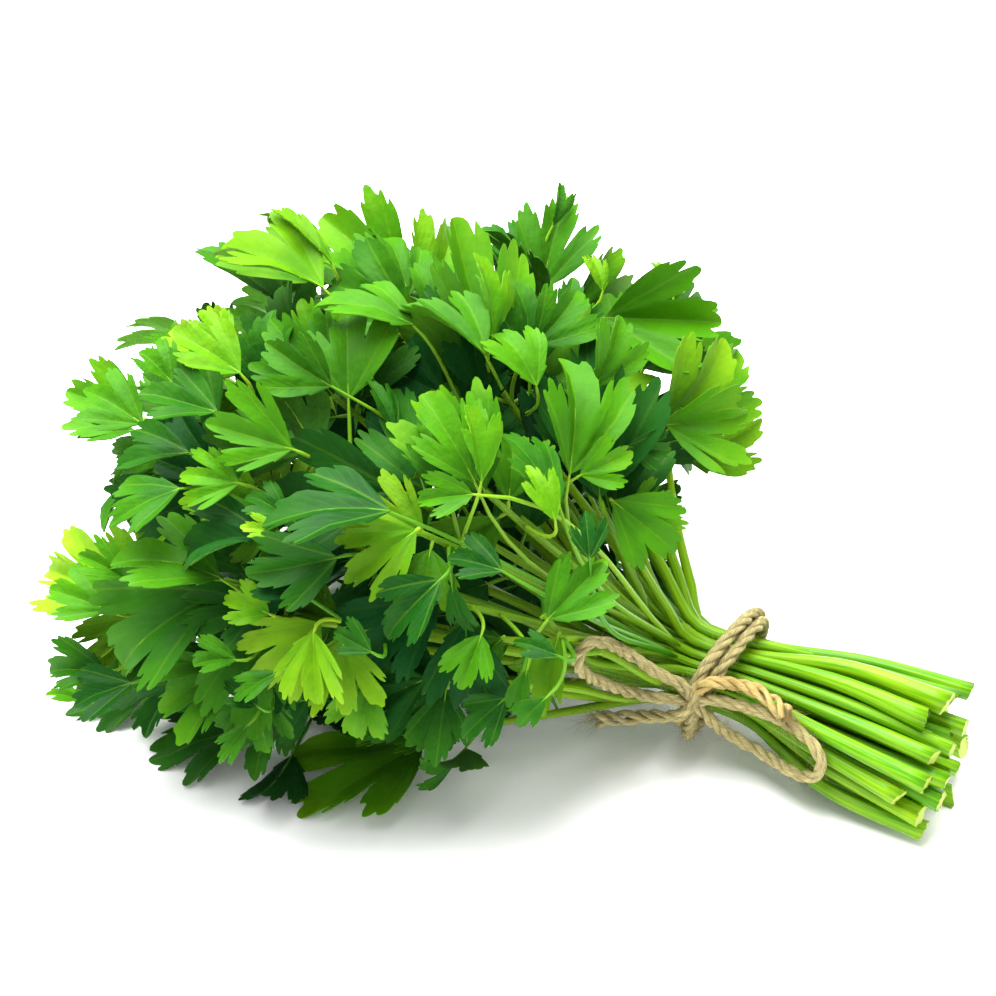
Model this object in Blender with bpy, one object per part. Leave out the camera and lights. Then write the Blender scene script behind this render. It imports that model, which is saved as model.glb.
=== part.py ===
# Leaf celery bunch: leafy stalks tied with jute twine, lying on a surface.
#
# Lengths are in millimetres, turned into metres where a mesh is made. Places are measured
# from the middle of the tie: +X runs along the bunch to its cut ends, +Y to the back, +Z up.

import math
import random
from types import SimpleNamespace

import bmesh
import bpy
import numpy as np
from mathutils import Matrix, Vector
from mathutils.bvhtree import BVHTree

MM = 0.001
SEED = 11

# Bundle
TIE_HEIGHT = 25.0
TIE_REACH = 10.0
STEM_GAP = 0.4
STEM_RADIUS_AT_TIE = (1.25, 1.8)
STEM_RADIUS_AT_CUT = (2.0, 3.0)
STEM_RADIUS_AT_LEAF = 0.85
STEM_SIDES = 6
STEM_FLATTENED = 0.78
CUT_DISTANCE = (60.0, 76.0)
CUT_OVAL = (27.0, 16.0)
CUT_HEIGHT = 17.5
CUT_SIDE = -5.0
STRAY_CUT = Vector((63.0, 18.0, 1.5))
STRAY_RADIUS = 1.6

# Twine
TWINE_RADIUS = 1.9
TURN_SPACING = 3.9
TURN_SLOPE = (0.20, 0.34)
TURN_STEPS = 18
TWINE_GAP = 0.45
KNOT_ANGLE = math.radians(170)
KNOT_LIFT = 2.2
KNOT_RADIUS = 4.4
KNOT_GAP = 1.6
BOW_GAP = 0.9
BOW_NEAREST = 45.0
LOOP_SINK = 12.0
TAIL_SINK = 9.0
CORD_STEP = 7.0

# Leaf head: its leaflets start on this oval, and reach out of it
HEAD_CENTRE = Vector((-110.0, 0.0, 20.0))
HEAD_HALF = Vector((95.0, 85.0, 72.0))

# Blades
BLADE_THICKNESS = 0.7
BLADE_GAP = 0.35
STALKLET_HALF = 0.02
ROOT_DEPTH = 1.6
LOW_SETTLING = 5.0
POSES_TRIED = 60

# The side that the bunch shows: leaflets there are set out across and up, as seen from here
SHOW_AZIMUTH = math.radians(22)
SHOW_ELEVATION = math.radians(35)
SHOW_DISTANCE = 715.0
SHOW_CENTRE = (-68.0, 53.0)
ACROSS = Vector((math.cos(SHOW_AZIMUTH), math.sin(SHOW_AZIMUTH), 0.0))
OUT = Vector((
    math.sin(SHOW_AZIMUTH) * math.cos(SHOW_ELEVATION),
    -math.cos(SHOW_AZIMUTH) * math.cos(SHOW_ELEVATION),
    math.sin(SHOW_ELEVATION),
))
UP = OUT.cross(ACROSS)

# Outlines of one half of a blade: angle off the rib and reach, as a share of the length
CUTS = {
    "broad": ((0, 1.00), (9, 0.88), (18, 0.62), (33, 0.88), (48, 0.70)),
    "parted": ((0, 1.00), (10, 0.86), (19, 0.55), (36, 0.92), (48, 0.64)),
    "slim": ((0, 1.00), (7, 0.86), (14, 0.62), (25, 0.76), (35, 0.52)),
}
RIB_POINT = 0.36

# Leading leaflets of the stalks on the side that shows: start (across, up), tip (across, up),
# how far it stands proud of the head's oval, lean towards the viewer and roll in degrees,
# youth from 0 (old and deep green) to 1 (young and lime), and cut
SHOW_LEAVES = (
    (-72, 55, -90, 87, 14, 8, 0, 0.72, "broad"),
    (-122, 15, -146, -6, 14, 5, 0, 0.98, "parted"),
    (-93, 43, -117, 27, 20, 5, 0, 0.92, "parted"),
    (-98, 55, -143, 52, 10, 0, 0, 0.15, "broad"),
    (-153, 25, -193, 3, 8, 0, 10, 0.42, "broad"),
    (-53, 17, -34, 35, 8, 10, 0, 0.55, "broad"),
    (-37, 52, -40, 103, 4, -5, 10, 0.20, "broad"),
    (-128, 67, -159, 75, 10, 0, 180, 0.60, "broad"),
    (-86, 22, -123, 10, 12, 0, -10, 0.05, "broad"),
    (-113, 34, -145, 24, 6, 0, 10, 0.08, "broad"),
    (-118, 84, -138, 109, 6, 0, 0, 0.35, "broad"),
    (-119, 118, -153, 138, 0, 0, 20, 0.75, "slim"),
    (-97, 116, -122, 141, 2, 5, 0, 0.70, "broad"),
    (-71, 92, -79, 139, 4, 0, 30, 0.68, "broad"),
    (-55, 116, -47, 149, 0, 0, 0, 0.50, "broad"),
    (-30, 94, 1, 117, 0, -5, 15, 0.40, "broad"),
    (-17, 74, 9, 100, 0, 0, 10, 0.68, "broad"),
    (-49, 97, -45, 122, 2, 10, 0, 0.18, "broad"),
    (-181, 22, -210, 34, 0, 0, 0, 0.95, "broad"),
    (-151, 28, -187, 40, 4, 0, 10, 0.38, "broad"),
    (-176, 77, -201, 87, -4, 0, 0, 0.66, "broad"),
    (-153, 77, -177, 101, 0, 0, 10, 0.35, "broad"),
    (-145, 91, -170, 107, -2, 5, 0, 0.88, "broad"),
    (-141, 51, -165, 61, 6, 5, 0, 0.86, "parted"),
    (-154, 56, -190, 46, -2, 0, 0, 0.12, "broad"),
    (-118, 125, -136, 146, -4, 0, 70, 0.70, "slim"),
    (-94, 106, -124, 124, 3, 5, 0, 0.36, "broad"),
    (-61, 120, -71, 141, -4, 0, 20, 0.30, "slim"),
    (-33, 52, -12, 36, 6, 0, 0, 0.55, "broad"),
    (-84, 84, -111, 98, 0, 0, 0, 0.14, "broad"),
    (-148, 2, -174, -11, 0, 0, 10, 0.62, "parted"),
    (-67, 10, -84, -5, 6, 5, 0, 0.62, "broad"),
    (-54, 12, -61, -13, 4, 5, 20, 0.78, "slim"),
    (-90, -2, -115, -13, 0, 0, 0, 0.30, "broad"),
)

# Stalks of the show side whose pair of leaflets is set by hand: tips (across, up), or none
SHOW_PAIRS = {
    0: ((-95, 41), (-62, 76)),
    5: (),
    6: ((-22, 78), (-56, 84)),
    16: ((12, 78),),
    28: ((-10, 55),),
    31: ((-88, 12),),
    32: ((-74, 2),),
    34: ((-116, -35),),
}

# Leading leaflets that lie low: start and tip, with heights above the surface, youth and cut
LOW_LEAVES = (
    (-79, -45, 10, -104, -82, 3, 0.32, "broad"),
    (-131, -55, 9, -158, -77, 3, 0.10, "broad"),
    (-168, -48, 9, -193, -68, 3, 0.12, "broad"),
    (-140, 40, 9, -170, 62, 3, 0.25, "broad"),
    (-85, 48, 10, -108, 80, 3, 0.30, "broad"),
)

# Leading leaflets at the back, by their place on the head's oval: distance from the tie,
# angle round the bunch from the back (90 is the top), youth
BACK_LEAVES = (
    (-160, 60, 0.40),
    (-165, 20, 0.25),
    (-120, 75, 0.55),
    (-125, 40, 0.30),
    (-130, 8, 0.15),
    (-80, 60, 0.35),
    (-85, 25, 0.20),
    (-190, 38, 0.60),
)

# Twine bow, as it shows: across and up
BOW_LEFT = (
    (-20, 0), (-28, 5.5), (-35.5, 9), (-41.5, 8.8), (-44.5, 4.5),
    (-42, 0), (-36, -3.2), (-28, -6), (-20.5, -7.6),
)
BOW_RIGHT = (
    (0, -17.5), (8, -22), (17, -27.5), (24, -31.5), (29.5, -31.5),
    (30.5, -26.5), (26.5, -20.5), (20, -15.5), (12, -12), (3, -9.5),
)
TAIL_LEFT = ((-20.5, -13.2), (-28, -13.8), (-38, -14.2))
TAIL_RIGHT = ((0, -3.2), (7, -4), (13, -7), (20, -13))
BOW_ENDS = {
    "twine_loop_left": (128, 180),
    "twine_loop_right": (-52, 0),
    "twine_tail_left": (238, None),
    "twine_tail_right": (56, None),
}

# Colours: a leaf's goes from the old one by way of the grown one to the young one
OLD_COLOUR = (0.022, 0.120, 0.012)
GROWN_COLOUR = (0.080, 0.270, 0.020)
YOUNG_COLOUR = (0.290, 0.500, 0.035)
TWINE_COLOUR = (0.420, 0.255, 0.120)


# Places on the side that shows

def sight(across, up):
    """How a point's place shifts for each millimetre nearer the viewer, so that it stays in line."""
    shrink_across = (across - SHOW_CENTRE[0]) / SHOW_DISTANCE
    shrink_up = (up - SHOW_CENTRE[1]) / SHOW_DISTANCE
    return OUT - ACROSS * shrink_across - UP * shrink_up


def show_point(across, up, out):
    return ACROSS * across + UP * up + sight(across, up) * out


def as_shown(point):
    """Across and up at which a point is seen."""
    out = point.dot(OUT)
    places = []
    for way, centre in ((ACROSS, SHOW_CENTRE[0]), (UP, SHOW_CENTRE[1])):
        places.append((point.dot(way) * SHOW_DISTANCE - out * centre) / (SHOW_DISTANCE - out))
    return places


def depth_on_head(across, up):
    """How far out the head's oval is at this place, or where it comes nearest."""
    start = ACROSS * across + UP * up - HEAD_CENTRE
    way = sight(across, up)
    a = sum((way[i] / HEAD_HALF[i]) ** 2 for i in range(3))
    b = sum(way[i] * start[i] / HEAD_HALF[i] ** 2 for i in range(3))
    c = sum((start[i] / HEAD_HALF[i]) ** 2 for i in range(3)) - 1.0
    return (-b + math.sqrt(max(b * b - a * c, 0.0))) / a


# Leaflets

def make_leaf(start, along, face, size, cut, youth, arch, fold):
    along = along.normalized()
    face = (face - along * face.dot(along)).normalized()
    return SimpleNamespace(
        start=start.copy(), along=along, face=face, size=size, cut=cut,
        youth=youth, arch=arch, fold=fold, stalklet=0.05,
    )


def turned(leaf, swing, lean, roll, shrink):
    """The same leaflet swung in its own plane, leaned out of it and rolled, in radians."""
    side = leaf.along.cross(leaf.face)
    turn = Matrix.Rotation(swing, 3, leaf.face) @ Matrix.Rotation(lean, 3, side)
    along = turn @ leaf.along
    face = Matrix.Rotation(roll, 3, along) @ (turn @ leaf.face)
    new = make_leaf(leaf.start, along, face, leaf.size * shrink, leaf.cut, leaf.youth, leaf.arch, leaf.fold)
    new.stalklet = leaf.stalklet
    return new


def blade_point(leaf, x, y, lift):
    """A point of the flat blade, x and y as shares of its length, once it is folded and arched."""
    turn = leaf.arch * max(y, 0.0)
    ahead = y if turn == 0.0 else math.sin(turn) / leaf.arch
    drop = 0.0 if turn == 0.0 else (1.0 - math.cos(turn)) / leaf.arch
    upright = leaf.face * math.cos(turn) + leaf.along * math.sin(turn)
    side = leaf.along.cross(leaf.face)
    rise = abs(x) * math.sin(leaf.fold)
    flat = leaf.along * ahead - leaf.face * drop + side * (x * math.cos(leaf.fold)) + upright * rise
    return leaf.start + flat * leaf.size + upright * lift


def blade_template(cut):
    """Flat prism of a blade: x and y as shares of its length, z 0 below and 1 on top."""
    half = []
    for angle, reach in CUTS[cut]:
        bearing = math.radians(angle)
        half.append((reach * math.sin(bearing), reach * math.cos(bearing)))
    outline = [(-STALKLET_HALF, -1.0), (STALKLET_HALF, -1.0), (STALKLET_HALF, 0.0)]
    outline += list(reversed(half))
    outline += [(-x, y) for x, y in half[1:]]
    outline += [(-STALKLET_HALF, 0.0)]
    bm = bmesh.new()
    face = bm.faces.new([bm.verts.new((x, y, 0.0)) for x, y in outline])
    poked = bmesh.ops.poke(bm, faces=[face])
    poked["verts"][0].co = (0.0, RIB_POINT, 0.0)
    lifted = bmesh.ops.extrude_face_region(bm, geom=bm.faces[:], use_keep_orig=True)
    top = [item for item in lifted["geom"] if isinstance(item, bmesh.types.BMVert)]
    bmesh.ops.translate(bm, verts=top, vec=(0.0, 0.0, 1.0))
    bmesh.ops.triangulate(bm, faces=bm.faces[:])
    bmesh.ops.recalc_face_normals(bm, faces=bm.faces[:])
    return bm


def bend_blade(bm, leaf, thickness):
    for vert in bm.verts:
        x, y, z = vert.co
        if y < -0.5:
            y = -leaf.stalklet
        vert.co = blade_point(leaf, x, y, (z - 0.5) * thickness)


def blade_skin(leaf, templates, bare=False):
    """The blade with its clearance, for testing against what is there already."""
    bm = templates[leaf.cut].copy()
    wide = SimpleNamespace(**vars(leaf))
    wide.size = leaf.size * 1.03
    if bare:
        wide.stalklet = 0.01
    bend_blade(bm, wide, BLADE_THICKNESS + 2.0 * BLADE_GAP)
    corners = [vert.co.copy() for vert in bm.verts]
    bm.verts.index_update()
    faces = [[vert.index for vert in face.verts] for face in bm.faces]
    bm.free()
    return make_skin(corners, faces)


def make_skin(corners, faces):
    low = Vector([min(corner[i] for corner in corners) for i in range(3)])
    high = Vector([max(corner[i] for corner in corners) for i in range(3)])
    return SimpleNamespace(low=low, high=high, tree=BVHTree.FromPolygons(corners, faces))


def tube_skin(line, radii, grow):
    """An open tube round a line, for testing against."""
    corners = []
    faces = []
    count = len(line)
    for i, point in enumerate(line):
        ahead = (line[min(i + 1, count - 1)] - line[max(i - 1, 0)]).normalized()
        side = ahead.orthogonal().normalized()
        other = ahead.cross(side)
        for k in range(STEM_SIDES):
            turn = math.tau * k / STEM_SIDES
            offset = side * math.cos(turn) + other * math.sin(turn)
            corners.append(point + offset * (radii[i] + grow) * 1.08)
    for i in range(count - 1):
        low = [i * STEM_SIDES + k for k in range(STEM_SIDES)]
        nearest = [min(range(STEM_SIDES), key=lambda j, a=a, i=i: (
            corners[(i + 1) * STEM_SIDES + j] - corners[a]).length) for a in low[:1]][0]
        for k in range(STEM_SIDES):
            step = (k + 1) % STEM_SIDES
            faces.append([
                low[k], low[step],
                (i + 1) * STEM_SIDES + (nearest + step) % STEM_SIDES,
                (i + 1) * STEM_SIDES + (nearest + k) % STEM_SIDES,
            ])
    return make_skin(corners, faces)


def touches(skin, others):
    for other in others:
        apart = any(skin.low[i] > other.high[i] or other.low[i] > skin.high[i] for i in range(3))
        if not apart and skin.tree.overlap(other.tree):
            return True
    return False


# Stems

def pack_circles(spots, radii, oval, lowest, rounds):
    """Circles drawn towards the middle of an oval and pushed off each other."""
    spots = spots.copy()
    for turn in range(rounds):
        spots -= spots * 0.03 * (1.0 - turn / rounds) * (oval.max() / oval)
        gap = spots[:, None] - spots[None]
        distance = np.linalg.norm(gap, axis=2)
        np.fill_diagonal(distance, 1e9)
        short = np.maximum(radii[:, None] + radii[None] + STEM_GAP - distance, 0.0)
        push = gap / np.maximum(distance, 1e-6)[:, :, None] * short[:, :, None] * 0.5
        spots += push.sum(axis=1)
        spots[:, 1] = np.maximum(spots[:, 1], lowest + radii * STEM_FLATTENED)
    return spots


def nearest_on_segments(p1, d1, p2, d2):
    """Shares along each pair of segments where they come nearest."""
    offset = p1 - p2
    a = np.maximum((d1 * d1).sum(-1), 1e-9)
    e = np.maximum((d2 * d2).sum(-1), 1e-9)
    f = (d2 * offset).sum(-1)
    c = (d1 * offset).sum(-1)
    b = (d1 * d2).sum(-1)
    s = np.clip((b * f - c * e) / np.maximum(a * e - b * b, 1e-9), 0.0, 1.0)
    t = np.clip((b * s + f) / e, 0.0, 1.0)
    s = np.clip((b * t - c) / a, 0.0, 1.0)
    return s, t


def settle_stems(lines, radii, mobile, rounds):
    """Stems pushed off each other and off the surface, and kept smooth."""
    count, points = radii.shape
    first, second = np.triu_indices(count, 1)
    for turn in range(rounds):
        steps = lines[:, 1:] - lines[:, :-1]
        p1 = lines[first][:, :-1, None]
        d1 = steps[first][:, :, None]
        p2 = lines[second][:, None, :-1]
        d2 = steps[second][:, None]
        s, t = nearest_on_segments(p1, d1, p2, d2)
        gap = p1 + d1 * s[..., None] - p2 - d2 * t[..., None]
        distance = np.linalg.norm(gap, axis=-1)
        r1 = radii[first][:, :-1, None] * (1 - s) + radii[first][:, 1:, None] * s
        r2 = radii[second][:, None, :-1] * (1 - t) + radii[second][:, None, 1:] * t
        short = r1 + r2 + STEM_GAP + 0.25 - distance
        pair, one, two = np.nonzero(short > 0.0)
        push = gap[pair, one, two] / np.maximum(distance[pair, one, two], 1e-4)[:, None]
        push = push * np.minimum(short[pair, one, two], 1.5)[:, None] * 0.7
        s = s[pair, one, two][:, None]
        t = t[pair, one, two][:, None]
        move = np.zeros_like(lines)
        np.add.at(move, (first[pair], one), push * (1 - s))
        np.add.at(move, (first[pair], one + 1), push * s)
        np.add.at(move, (second[pair], two), -push * (1 - t))
        np.add.at(move, (second[pair], two + 1), -push * t)
        if turn < rounds * 0.6:
            bend = (lines[:, 2:] + lines[:, :-2]) * 0.5 - lines[:, 1:-1]
            move[:, 1:-1] += bend * 0.05
        lines = lines + np.clip(move, -2.0, 2.0) * mobile
        lines[..., 2] = np.maximum(lines[..., 2], radii * STEM_FLATTENED - TIE_HEIGHT)
    return lines


def bezier(p0, p1, p2, p3, t):
    u = 1.0 - t
    return p0 * (u ** 3) + p1 * (3 * u * u * t) + p2 * (3 * u * t * t) + p3 * (t ** 3)


def pair_up(slots, wanted):
    """Which slot each stem takes, so that stems cross as little as they can."""
    taken = list(range(len(slots)))
    cost = ((wanted[:, None] - slots[None]) ** 2).sum(axis=2)
    better = True
    while better:
        better = False
        for i in range(len(taken)):
            for j in range(i + 1, len(taken)):
                now = cost[i, taken[i]] + cost[j, taken[j]]
                if cost[i, taken[j]] + cost[j, taken[i]] < now - 1e-9:
                    taken[i], taken[j] = taken[j], taken[i]
                    better = True
    return taken


def leading_leaves(rng):
    """The leading leaflet of every stalk, as wanted before anything is cleared."""
    leaves = []
    for row in SHOW_LEAVES:
        across, up, tip_across, tip_up, proud, lean, roll, youth, cut = row
        out = depth_on_head(across, up) + proud
        reach = math.hypot(tip_across - across, tip_up - up)
        flat = (ACROSS * (tip_across - across) + UP * (tip_up - up)) / reach
        tilt = math.radians(lean)
        along = flat * math.cos(tilt) + OUT * math.sin(tilt)
        face = OUT + Vector((0.0, 0.0, 0.25))
        size = reach * (1.0 - out / SHOW_DISTANCE) / math.cos(tilt)
        arch = math.radians(rng.uniform(15, 45))
        fold = math.radians(rng.uniform(4, 18))
        leaf = make_leaf(show_point(across, up, out), along, face, size, cut, youth, arch, fold)
        leaves.append(turned(leaf, 0.0, 0.0, math.radians(roll), 1.0))
    for x, y, z, tip_x, tip_y, tip_z, youth, cut in LOW_LEAVES:
        start = Vector((x, y, z - TIE_HEIGHT))
        along = Vector((tip_x, tip_y, tip_z - TIE_HEIGHT)) - start
        face = Vector((0.0, 0.0, 1.0))
        leaves.append(make_leaf(start, along, face, along.length, cut, youth, 0.0, math.radians(4)))
    for x, angle, youth in BACK_LEAVES:
        turn = math.radians(angle)
        waist = math.sqrt(max(1.0 - ((x - HEAD_CENTRE.x) / HEAD_HALF.x) ** 2, 0.05))
        y = HEAD_HALF.y * waist * math.cos(turn)
        z = HEAD_CENTRE.z + HEAD_HALF.z * waist * math.sin(turn)
        start = Vector((x, y, z))
        outward = Vector([(start - HEAD_CENTRE)[i] / HEAD_HALF[i] ** 2 for i in range(3)]).normalized()
        along = (start.normalized() + outward * 0.5).normalized()
        size = rng.uniform(34, 42)
        arch = math.radians(rng.uniform(15, 40))
        leaves.append(make_leaf(start, along, outward, size, "broad", youth, arch, math.radians(10)))
    return leaves


def plan_stems(leaves, rng):
    """Centrelines and radii of all stems, cut end first."""
    count = len(leaves)
    tie_radii = np.array([rng.uniform(*STEM_RADIUS_AT_TIE) for _ in range(count)])
    cut_radii = np.array([rng.uniform(*STEM_RADIUS_AT_CUT) for _ in range(count)])
    golden = math.pi * (3.0 - math.sqrt(5.0))
    spots = np.array([
        (math.sqrt(k + 0.5) * math.cos(k * golden), math.sqrt(k + 0.5) * math.sin(k * golden))
        for k in range(count)
    ])
    slots = pack_circles(spots * 2.0, tie_radii, np.array((1.0, 1.0)), -1e9, 500)
    slots -= slots.mean(axis=0)
    reach = np.linalg.norm(slots, axis=1).max()
    oval = np.array(CUT_OVAL)
    lowest = 0.0 - CUT_HEIGHT
    ends = pack_circles(slots / reach * oval, cut_radii, oval, lowest, 400)
    wanted = []
    for leaf in leaves:
        spread = Vector((leaf.start.y, leaf.start.z - 0.12 * leaf.start.length))
        wanted.append(tuple(spread * (16.0 / (20.0 + abs(leaf.start.x)))))
    taken = pair_up(slots, np.array(wanted))
    stray = int(np.argmax(slots @ np.array((0.5, 0.85))))
    cut_radii[stray] = STRAY_RADIUS
    lines = []
    radii = []
    for leaf, slot in zip(leaves, taken):
        cut_x = rng.uniform(*CUT_DISTANCE)
        side, height = slots[slot]
        end_side, end_height = ends[slot]
        rise = -0.08
        end = Vector((cut_x, end_side + CUT_SIDE, end_height + CUT_HEIGHT - TIE_HEIGHT))
        if slot == stray:
            end = STRAY_CUT.copy()
        near = Vector((TIE_REACH, side * 1.01, height * 1.01 + rise * TIE_REACH))
        far = Vector((-TIE_REACH, side * 1.01, height * 1.01 - rise * TIE_REACH))
        lead = Vector((1.0, side * 0.010, height * 0.010 + rise))
        line = [bezier(near, near + lead * 18.0, end * 0.7 + near * 0.3, end, t) for t in (1.0, 0.5)]
        line += [near, far]
        path = leaf.start - far
        lead = Vector((-1.0, side * 0.030, height * 0.030 - rise)).normalized()
        arrive = (leaf.along + path.normalized() * 0.7).normalized()
        handle = path.length * 0.38
        for t in (0.22, 0.45, 0.68, 0.86, 1.0):
            line.append(bezier(far, far + lead * handle, leaf.start - arrive * handle * 0.8, leaf.start, t))
        cut, tie = cut_radii[slot], tie_radii[slot]
        lines.append([tuple(point) for point in line])
        radii.append([cut, cut * 0.55 + tie * 0.45, tie, tie] + [
            tie + (STEM_RADIUS_AT_LEAF - tie) * share for share in (0.2, 0.4, 0.6, 0.8, 1.0)
        ])
    lines = np.array(lines)
    radii = np.array(radii)
    mobile = np.ones_like(lines)
    mobile[:, 2:4] = 0.0
    mobile[:, 0, 0] = 0.0
    mobile[taken.index(stray), 0] = 0.0
    lines = settle_stems(lines, radii, mobile, 260)
    stems = [[Vector(point) for point in line] for line in lines]
    return stems, radii


# Planting leaflets

def side_leaves(lead, stem, tips, rng):
    """The pair of leaflets below the leading one, towards their tips where these are given."""
    back = (stem[-1] - stem[-2]).normalized()
    below = lead.size * rng.uniform(0.26, 0.36)
    root = stem[-1] - back * min(below, (stem[-1] - stem[-2]).length * 0.95)
    middle = (lead.along + back * 0.6).normalized()
    side = lead.along.cross(lead.face)
    ways = []
    if tips is None:
        for hand in (-1, 1):
            spread = math.radians(rng.uniform(52, 68))
            along = middle * math.cos(spread) + side * (hand * math.sin(spread))
            ways.append((along - lead.face * rng.uniform(0.08, 0.28), lead.size * rng.uniform(0.78, 0.92)))
    else:
        for across, up in tips:
            way = show_point(across, up, root.dot(OUT) - 2.0) - root
            ways.append((way, way.length * 0.9))
    pair = []
    for along, size in ways:
        youth = min(max(lead.youth + rng.uniform(-0.15, 0.15), 0.0), 1.0)
        arch = math.radians(rng.uniform(15, 45))
        fold = math.radians(rng.uniform(4, 16))
        leaf = make_leaf(root, along, lead.face, size, lead.cut, youth, arch, fold)
        leaf.stalklet = rng.uniform(0.14, 0.24)
        leaf.start = root + leaf.along * (leaf.stalklet * leaf.size - ROOT_DEPTH * 0.5)
        pair.append(leaf)
    return pair


def plant(leaf, skins, siblings, templates, rng, low):
    """The leaflet in a pose that clears what is there, or None. Siblings share their root."""
    root = leaf.start - leaf.along * (leaf.stalklet * leaf.size)
    for k in range(POSES_TRIED):
        loose = k / POSES_TRIED
        swing = math.radians(rng.gauss(0.0, 5.0 + 30.0 * loose)) if k else 0.0
        lean = math.radians(rng.gauss(0.0, 5.0 + 30.0 * loose)) if k else 0.0
        roll = math.radians(rng.gauss(0.0, 6.0 + 30.0 * loose)) if k else 0.0
        new = turned(leaf, swing, lean, roll, 1.0 - 0.35 * loose)
        new.start = root + new.along * (new.stalklet * new.size)
        skin = blade_skin(new, templates)
        if low:
            new.settled = -BLADE_GAP - TIE_HEIGHT - skin.low.z
            if abs(new.settled) > LOW_SETTLING:
                continue
            new.start.z += new.settled
            skin = blade_skin(new, templates)
        if skin.low.z + TIE_HEIGHT < -BLADE_GAP * 1.5:
            continue
        if touches(skin, skins):
            continue
        if siblings and touches(blade_skin(new, templates, bare=True), siblings):
            continue
        return new, skin
    return None, None


def plan_bunch():
    """Stems with their leaflets, and the twine, all clear of each other."""
    rng = random.Random(SEED)
    templates = {cut: blade_template(cut) for cut in CUTS}
    leads = leading_leaves(rng)
    stems, radii = plan_stems(leads, rng)
    skins = [tube_skin(line, r, BLADE_GAP) for line, r in zip(stems, radii)]
    twine = plan_twine(stems, radii)
    twine_skins = [tube_skin(line, [TWINE_RADIUS] * len(line), BLADE_GAP) for line in twine.cords.values()]
    stalks = []
    for lead, stem, radius in zip(leads, stems, radii):
        lead.start = stem[-1] + lead.along * (lead.stalklet * lead.size - ROOT_DEPTH)
        stalks.append(SimpleNamespace(line=stem, radii=list(radius), leaves=[], youth=lead.youth))
    planted = {i: [] for i in range(len(stalks))}

    def grow(i, wanted, low):
        others = skins[:i] + skins[i + 1:] + twine_skins
        for owner, blades in planted.items():
            if owner != i:
                others += blades
        siblings = [blade_skin(leaf, templates, bare=True) for leaf in stalks[i].leaves]
        leaf, skin = plant(wanted, others, siblings, templates, rng, low)
        if leaf:
            stalks[i].leaves.append(leaf)
            planted[i].append(skin)
        return leaf

    low_from = len(SHOW_LEAVES)
    low_to = low_from + len(LOW_LEAVES)
    order = list(range(low_from, low_to)) + list(range(low_from)) + list(range(low_to, len(leads)))
    for i in order:
        low = low_from <= i < low_to
        leaf = grow(i, leads[i], low)
        if leaf and low:
            stems[i][-1].z += leaf.settled
            skins[i] = tube_skin(stems[i], radii[i], BLADE_GAP)
    for i in order:
        lead = stalks[i].leaves[0] if stalks[i].leaves else leads[i]
        for wanted in side_leaves(lead, stems[i], SHOW_PAIRS.get(i), rng):
            grow(i, wanted, False)
    return stalks, twine, templates


# Twine

def clear_depth(across, up, lines, radii, nearest, furthest):
    """How far out a cord lies on what is under it, coming down on it from the viewer's side."""
    out = nearest
    while out > furthest:
        point = show_point(across, up, out - 0.25)
        if any(distance_to_line(point, line, r) < TWINE_RADIUS + BOW_GAP for line, r in zip(lines, radii)):
            return out
        out -= 0.25
    return out


def distance_to_line(point, line, radii):
    best = 1e9
    for a, b, ra, rb in zip(line, line[1:], radii, radii[1:]):
        step = b - a
        share = min(max((point - a).dot(step) / step.length_squared, 0.0), 1.0)
        gap = (point - a - step * share).length - ra * (1 - share) - rb * share
        best = min(best, gap)
    return best


def smooth_line(points, spacing):
    """Points at an even spacing on a smooth curve through the given ones."""
    dense = []
    ends = [points[0] * 2 - points[1]] + list(points) + [points[-1] * 2 - points[-2]]
    for i in range(1, len(ends) - 2):
        a, b, c, d = ends[i - 1:i + 3]
        for k in range(12):
            t = k / 12
            dense.append((b * 2 + (c - a) * t + (a * 2 - b * 5 + c * 4 - d) * t * t
                          + (b * 3 - a - c * 3 + d) * t ** 3) * 0.5)
    dense.append(points[-1])
    length = sum((q - p).length for p, q in zip(dense, dense[1:]))
    count = max(round(length / spacing), 3)
    line = [dense[0]]
    walked = 0.0
    for p, q in zip(dense, dense[1:]):
        step = (q - p).length
        while len(line) < count and walked + step >= length * len(line) / count:
            share = (length * len(line) / count - walked) / step
            line.append(p + (q - p) * share)
        walked += step
    line.append(dense[-1])
    return line


def lift_clear(line, lines, radii):
    """A cord's points moved out until its whole length clears what is under it."""
    for _ in range(60):
        moved = False
        for i in range(len(line) - 1):
            for share in (0.0, 0.25, 0.5, 0.75, 1.0):
                point = line[i].lerp(line[i + 1], share)
                near = min(distance_to_line(point, other, r) for other, r in zip(lines, radii))
                short = TWINE_RADIUS + TWINE_GAP - near
                if short <= 0.0:
                    continue
                for k, weight in ((i, 1.0 - share), (i + 1, share)):
                    line[k] = line[k] + OUT * (short * weight + 0.02)
                    moved = True
        if not moved:
            return


def knot_exit(knot_across, knot_up, angle):
    """Where a strand leaves the knot, just off its surface, at this angle as it shows."""
    turn = math.radians(angle)
    off = KNOT_RADIUS + KNOT_GAP
    return knot_across + off * math.cos(turn), knot_up + off * math.sin(turn)


def turn_line(ring, side):
    """The middle of one turn of twine round the bundle."""
    line = []
    for k in range(TURN_STEPS + 1):
        turn = math.tau * k / TURN_STEPS
        y = ring * math.cos(turn)
        z = ring * math.sin(turn)
        line.append(Vector((side * TURN_SPACING + TURN_SLOPE[0] * y + TURN_SLOPE[1] * z, y, z)))
    return line


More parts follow.
